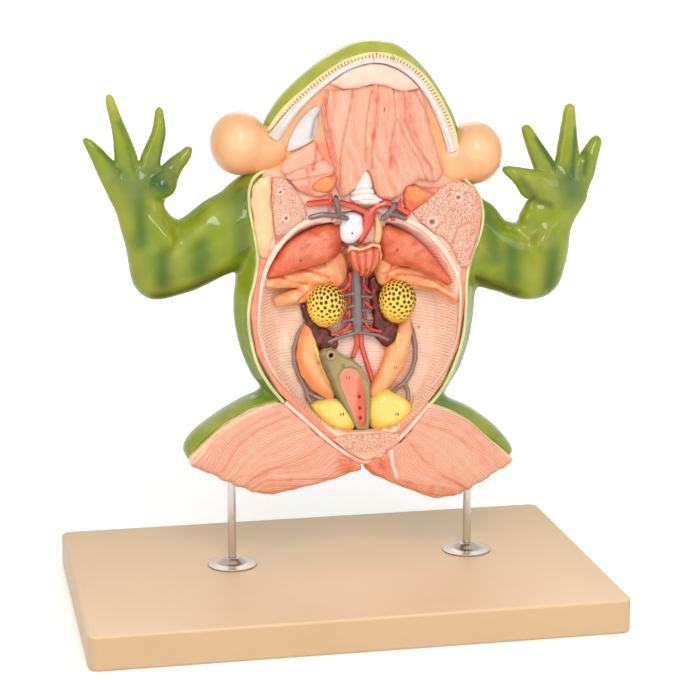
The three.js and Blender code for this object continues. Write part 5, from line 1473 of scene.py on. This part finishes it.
# Ovaries
# Yellow balls full of eggs: every black egg sits in a shallow dimple with a raised edge. Each
# ovary pulls off its peg.
EGG_COUNT = 176
GOLDEN_TURN = math.pi * (3 - math.sqrt(5))
EGG_STRETCH = 0.14
EGG_GROWTH = 0.13
egg_enamel = hand_painted(
    "egg_enamel", 0.34, 0.3, mottle=0.25, marks=[("#B9741C", 1.05, 1.5), ("#2A1C0A", 0.92, 1.08)]
)
turns = np.arange(EGG_COUNT)
level = 1 - 2 * (turns + 0.5) / EGG_COUNT
ring_radius = np.sqrt(1 - level**2)
directions = np.stack(
    [ring_radius * np.cos(turns * GOLDEN_TURN), level, ring_radius * np.sin(turns * GOLDEN_TURN)], 1
)
for side in ("left", "right"):
    low, high = (np.array(corner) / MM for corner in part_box(f"{side}_ovary"))
    centre = (low + high) / 2
    eggs = centre + directions * (high - low) / 2

    def to_egg(x, y, z):
        """How far a place is from the middle of the nearest egg, in mm for an egg of middling size."""
        nearest = np.full_like(x, 1e9)
        for i, egg in enumerate(eggs):
            wide = 1 + EGG_STRETCH * math.sin(i * 2.4)
            off = np.hypot((x - egg[0]) * wide, (z - egg[2]) / wide)
            size_of_egg = 1 + EGG_GROWTH * math.sin(i * 3.9)
            nearest = np.minimum(nearest, np.sqrt(off**2 + (y - egg[1]) ** 2) / size_of_egg)
        return nearest

    ovary = moulded(f"{side}_ovary", 0.5, 16, grow=0.5)
    places, normals = points_of(ovary)
    gap = to_egg(*places.T)
    put_points(ovary, places + normals * (0.25 * bell(gap - 1.3, 0.5) - 0.35 * bell(gap, 0.9))[:, None])
    field(ovary, "marks", gap)
    finished(
        ovary, f"{side}_egg_ovary", f"{side}_ovary", "ovary_yellow", egg_enamel, f"{side}_ovary", "#FBE45E",
        [
            ("#F2B93A", lambda x, y, z: 0.7 * ease(centre[2] - z, 3, 14)),
            ("#E9B63C", lambda x, y, z: 0.6 * (1 - ease(gap, 1.1, 2.0))),
        ],
    )

# Kidneys
# Dark brown slabs at the back of the belly, mottled, uneven and glossy.
kidney_paint = hand_painted("kidney_paint", 0.16, 0.45, mottle=0.9)
for side in ("left", "right"):
    organ(
        f"{side}_kidney", f"{side}_glossy_kidney", "kidney_brown", kidney_paint, "#72230F",
        [("#3E130C", streaks(0.5, 0.35, 0, 1, 0.7)), ("#94402E", streaks(0.4, -0.3, 0.5, 1, 0.6))],
        grid=0.6, passes=12, grow=1.2,
        relief=lambda x, y, z: 0.3 * np.sin(z * 0.7 + np.sin(x * 0.5)) * np.sin(x * 0.6),
    )

# Oviducts
# Smooth orange tubes along both sides of the kidneys, redder at their outer edge.
duct_paint = hand_painted("duct_paint", 0.28, 0.7, mottle=0.6)
DUCT_EDGES = {
    "left": [(-16, 203), (-24, 190), (-24, 176), (-16, 162), (-2, 151)],
    "right": [(47, 190), (39, 178), (33, 162), (28, 152)],
}
for side, edge in DUCT_EDGES.items():
    organ(
        f"{side}_oviduct", f"{side}_smooth_oviduct", "duct_orange", duct_paint, "#FDBA7A",
        [
            ("#F58644", lambda x, y, z: 0.65 * (1 - ease(off_line(x, z, *edge), 1.5, 5))),
            ("#FCC48C", stroke(edge, 2, 0.6, off=8)),
        ],
        grid=0.6, passes=10, grow=1.3,
    )

# Bladder
# Two bright yellow lobes at the bottom of the belly, deeper in colour along their edges.
bladder_paint = hand_painted("bladder_paint", 0.26, 0.7, mottle=0.3)
for side, middle in (("left", (2, 137)), ("right", (44, 140))):
    organ(
        f"{side}_bladder_lobe", f"{side}_bladder_smooth", "bladder_yellow", bladder_paint, "#F8D858",
        [("#FCE77C", patch(*middle, 15, 12))], grid=0.6, passes=24, grow=1.0,
    )

# Cloaca
# An olive tube cut open along its front to show the salmon lining and three dark openings. A
# pinkish ring round a dark hole at its top is the cut end of the gut.
GUT_END = (-1, 181.5)
SHADED_EDGE = [(-8, 180), (0, 158), (14, 128)]
LINING_HOLES = [(20.5, 149), (20.8, 140.5), (21.3, 133)]
cloaca_paint = hand_painted("cloaca_paint", 0.28, 0.4, mottle=0.7)


def to_gut_end(x, z):
    """How far a place is, seen from the front, from the middle of the cut gut, in mm."""
    return np.hypot(x - GUT_END[0], z - GUT_END[1])


organ(
    "cloaca", "opened_cloaca", "cloaca_olive", cloaca_paint, "#ACA470",
    [
        ("#7A6638", lambda x, y, z: 0.8 * ease(-y, -14, -11) * (
            1 - ease(off_line(x, z, *SHADED_EDGE), 1, 5))),
        ("#A9A06C", patch(8, 177, 6, 3, 0.7)),
        ("#C99A84", lambda x, y, z: bell(to_gut_end(x, z) - 2.7, 0.8)),
        ("#5A2018", lambda x, y, z: 1 - ease(to_gut_end(x, z), 1.4, 2.0)),
    ],
    grid=0.5, passes=8, grow=0.4, relief=lambda x, y, z: 0.4 * bell(to_gut_end(x, z) - 2.6, 0.8),
)


def lining_holes(x, y, z):
    return sum(1 - ease(np.hypot(x - a, (z - b) / 1.3), 0.8, 1.5) for a, b in LINING_HOLES)


organ(
    "cloaca_lining", "cloaca_lining_smooth", "muscle", smooth_flesh, "#FC9A82",
    [
        ("#E56648", lambda x, y, z: 0.85 * ease(x - np.interp(z, [126, 150, 172], [17, 16, 20]), 0, 4)),
        ("#8E241C", lining_holes),
    ],
    grid=0.5, passes=8, grow=1.2, relief=lambda x, y, z: -0.6 * lining_holes(x, y, z),
)

# Key numbers
# Small plain figures printed in dark brown ink on the organs, as on the real model.
KEY_FIGURES = {
    "frog": [
        ("1", "jaw_bone_strip", 28.5, 393), ("2", "gum_with_teeth", 42, 394.5),
        ("3", "throat_muscles_carved", 36, 358), ("4", "smooth_atrium", 13, 271),
        ("6", "left_dimpled_lung", -24, 253), ("6", "right_dimpled_lung", 46, 258),
        ("7", "right_lobed_fat", 52, 240), ("9", "painted_body_wall", 62, 201),
        ("10", "left_glossy_kidney", -6, 198),
        ("11", "left_smooth_oviduct", -12, 178), ("11", "right_smooth_oviduct", 45, 172),
        ("12", "opened_cloaca", 6, 175), ("13", "cloaca_lining_smooth", 10, 166),
        ("14", "left_bladder_smooth", 5.5, 139), ("14", "right_bladder_smooth", 46, 137),
    ],
    "heart": [("5", "ribbed_heart", 24, 244)],
    "left_ovary": [("8", "left_egg_ovary", -3, 215)],
    "right_ovary": [("8", "right_egg_ovary", 52, 216)],
}
FIGURE_HEIGHT = 2.6
EM_TO_FIGURE = 1.4
INK_THICKNESS = 0.05
INK_LIFT = 0.12
ink, tree, shader, place = new_material("brown_ink", 0.5)
tone = ramp(tree, noise(tree, place, 800.0), (0.35, "#33201A"), (0.65, "#4A3228"))
tree.links.new(tone, shader.inputs["Base Color"])
eye_point = Vector(CAMERA_PLACE)
for body, figures in KEY_FIGURES.items():
    printed = []
    for digits, piece_name, across, along in figures:
        piece = bpy.data.objects[piece_name]
        surface = BVHTree.FromPolygons(
            [v.co for v in piece.data.vertices], [face.vertices for face in piece.data.polygons]
        )
        toward = Vector((across * MM, CUT_FACE * MM, along * MM)) - eye_point
        spot_hit, outward, _, _ = surface.ray_cast(eye_point, toward.normalized())
        upright = (Vector((0, 0, 1)) - outward * outward.z).normalized()
        bpy.ops.object.text_add()
        figure = bpy.context.object
        figure.data.body = digits
        figure.data.size = FIGURE_HEIGHT * MM * EM_TO_FIGURE
        figure.data.align_x = "CENTER"
        figure.data.align_y = "CENTER"
        figure.data.extrude = INK_THICKNESS * MM
        bpy.ops.object.convert(target="MESH")
        figure = bpy.context.object
        figure.matrix_world = Matrix.Translation(spot_hit + outward * INK_LIFT * MM) @ Matrix(
            (upright.cross(outward), upright, outward)
        ).transposed().to_4x4()
        settled(figure)
        figure.data.materials.append(ink)
        printed.append(figure)
    seat(joined(*printed), f"{body}_key_figures", body, "kidney_brown")
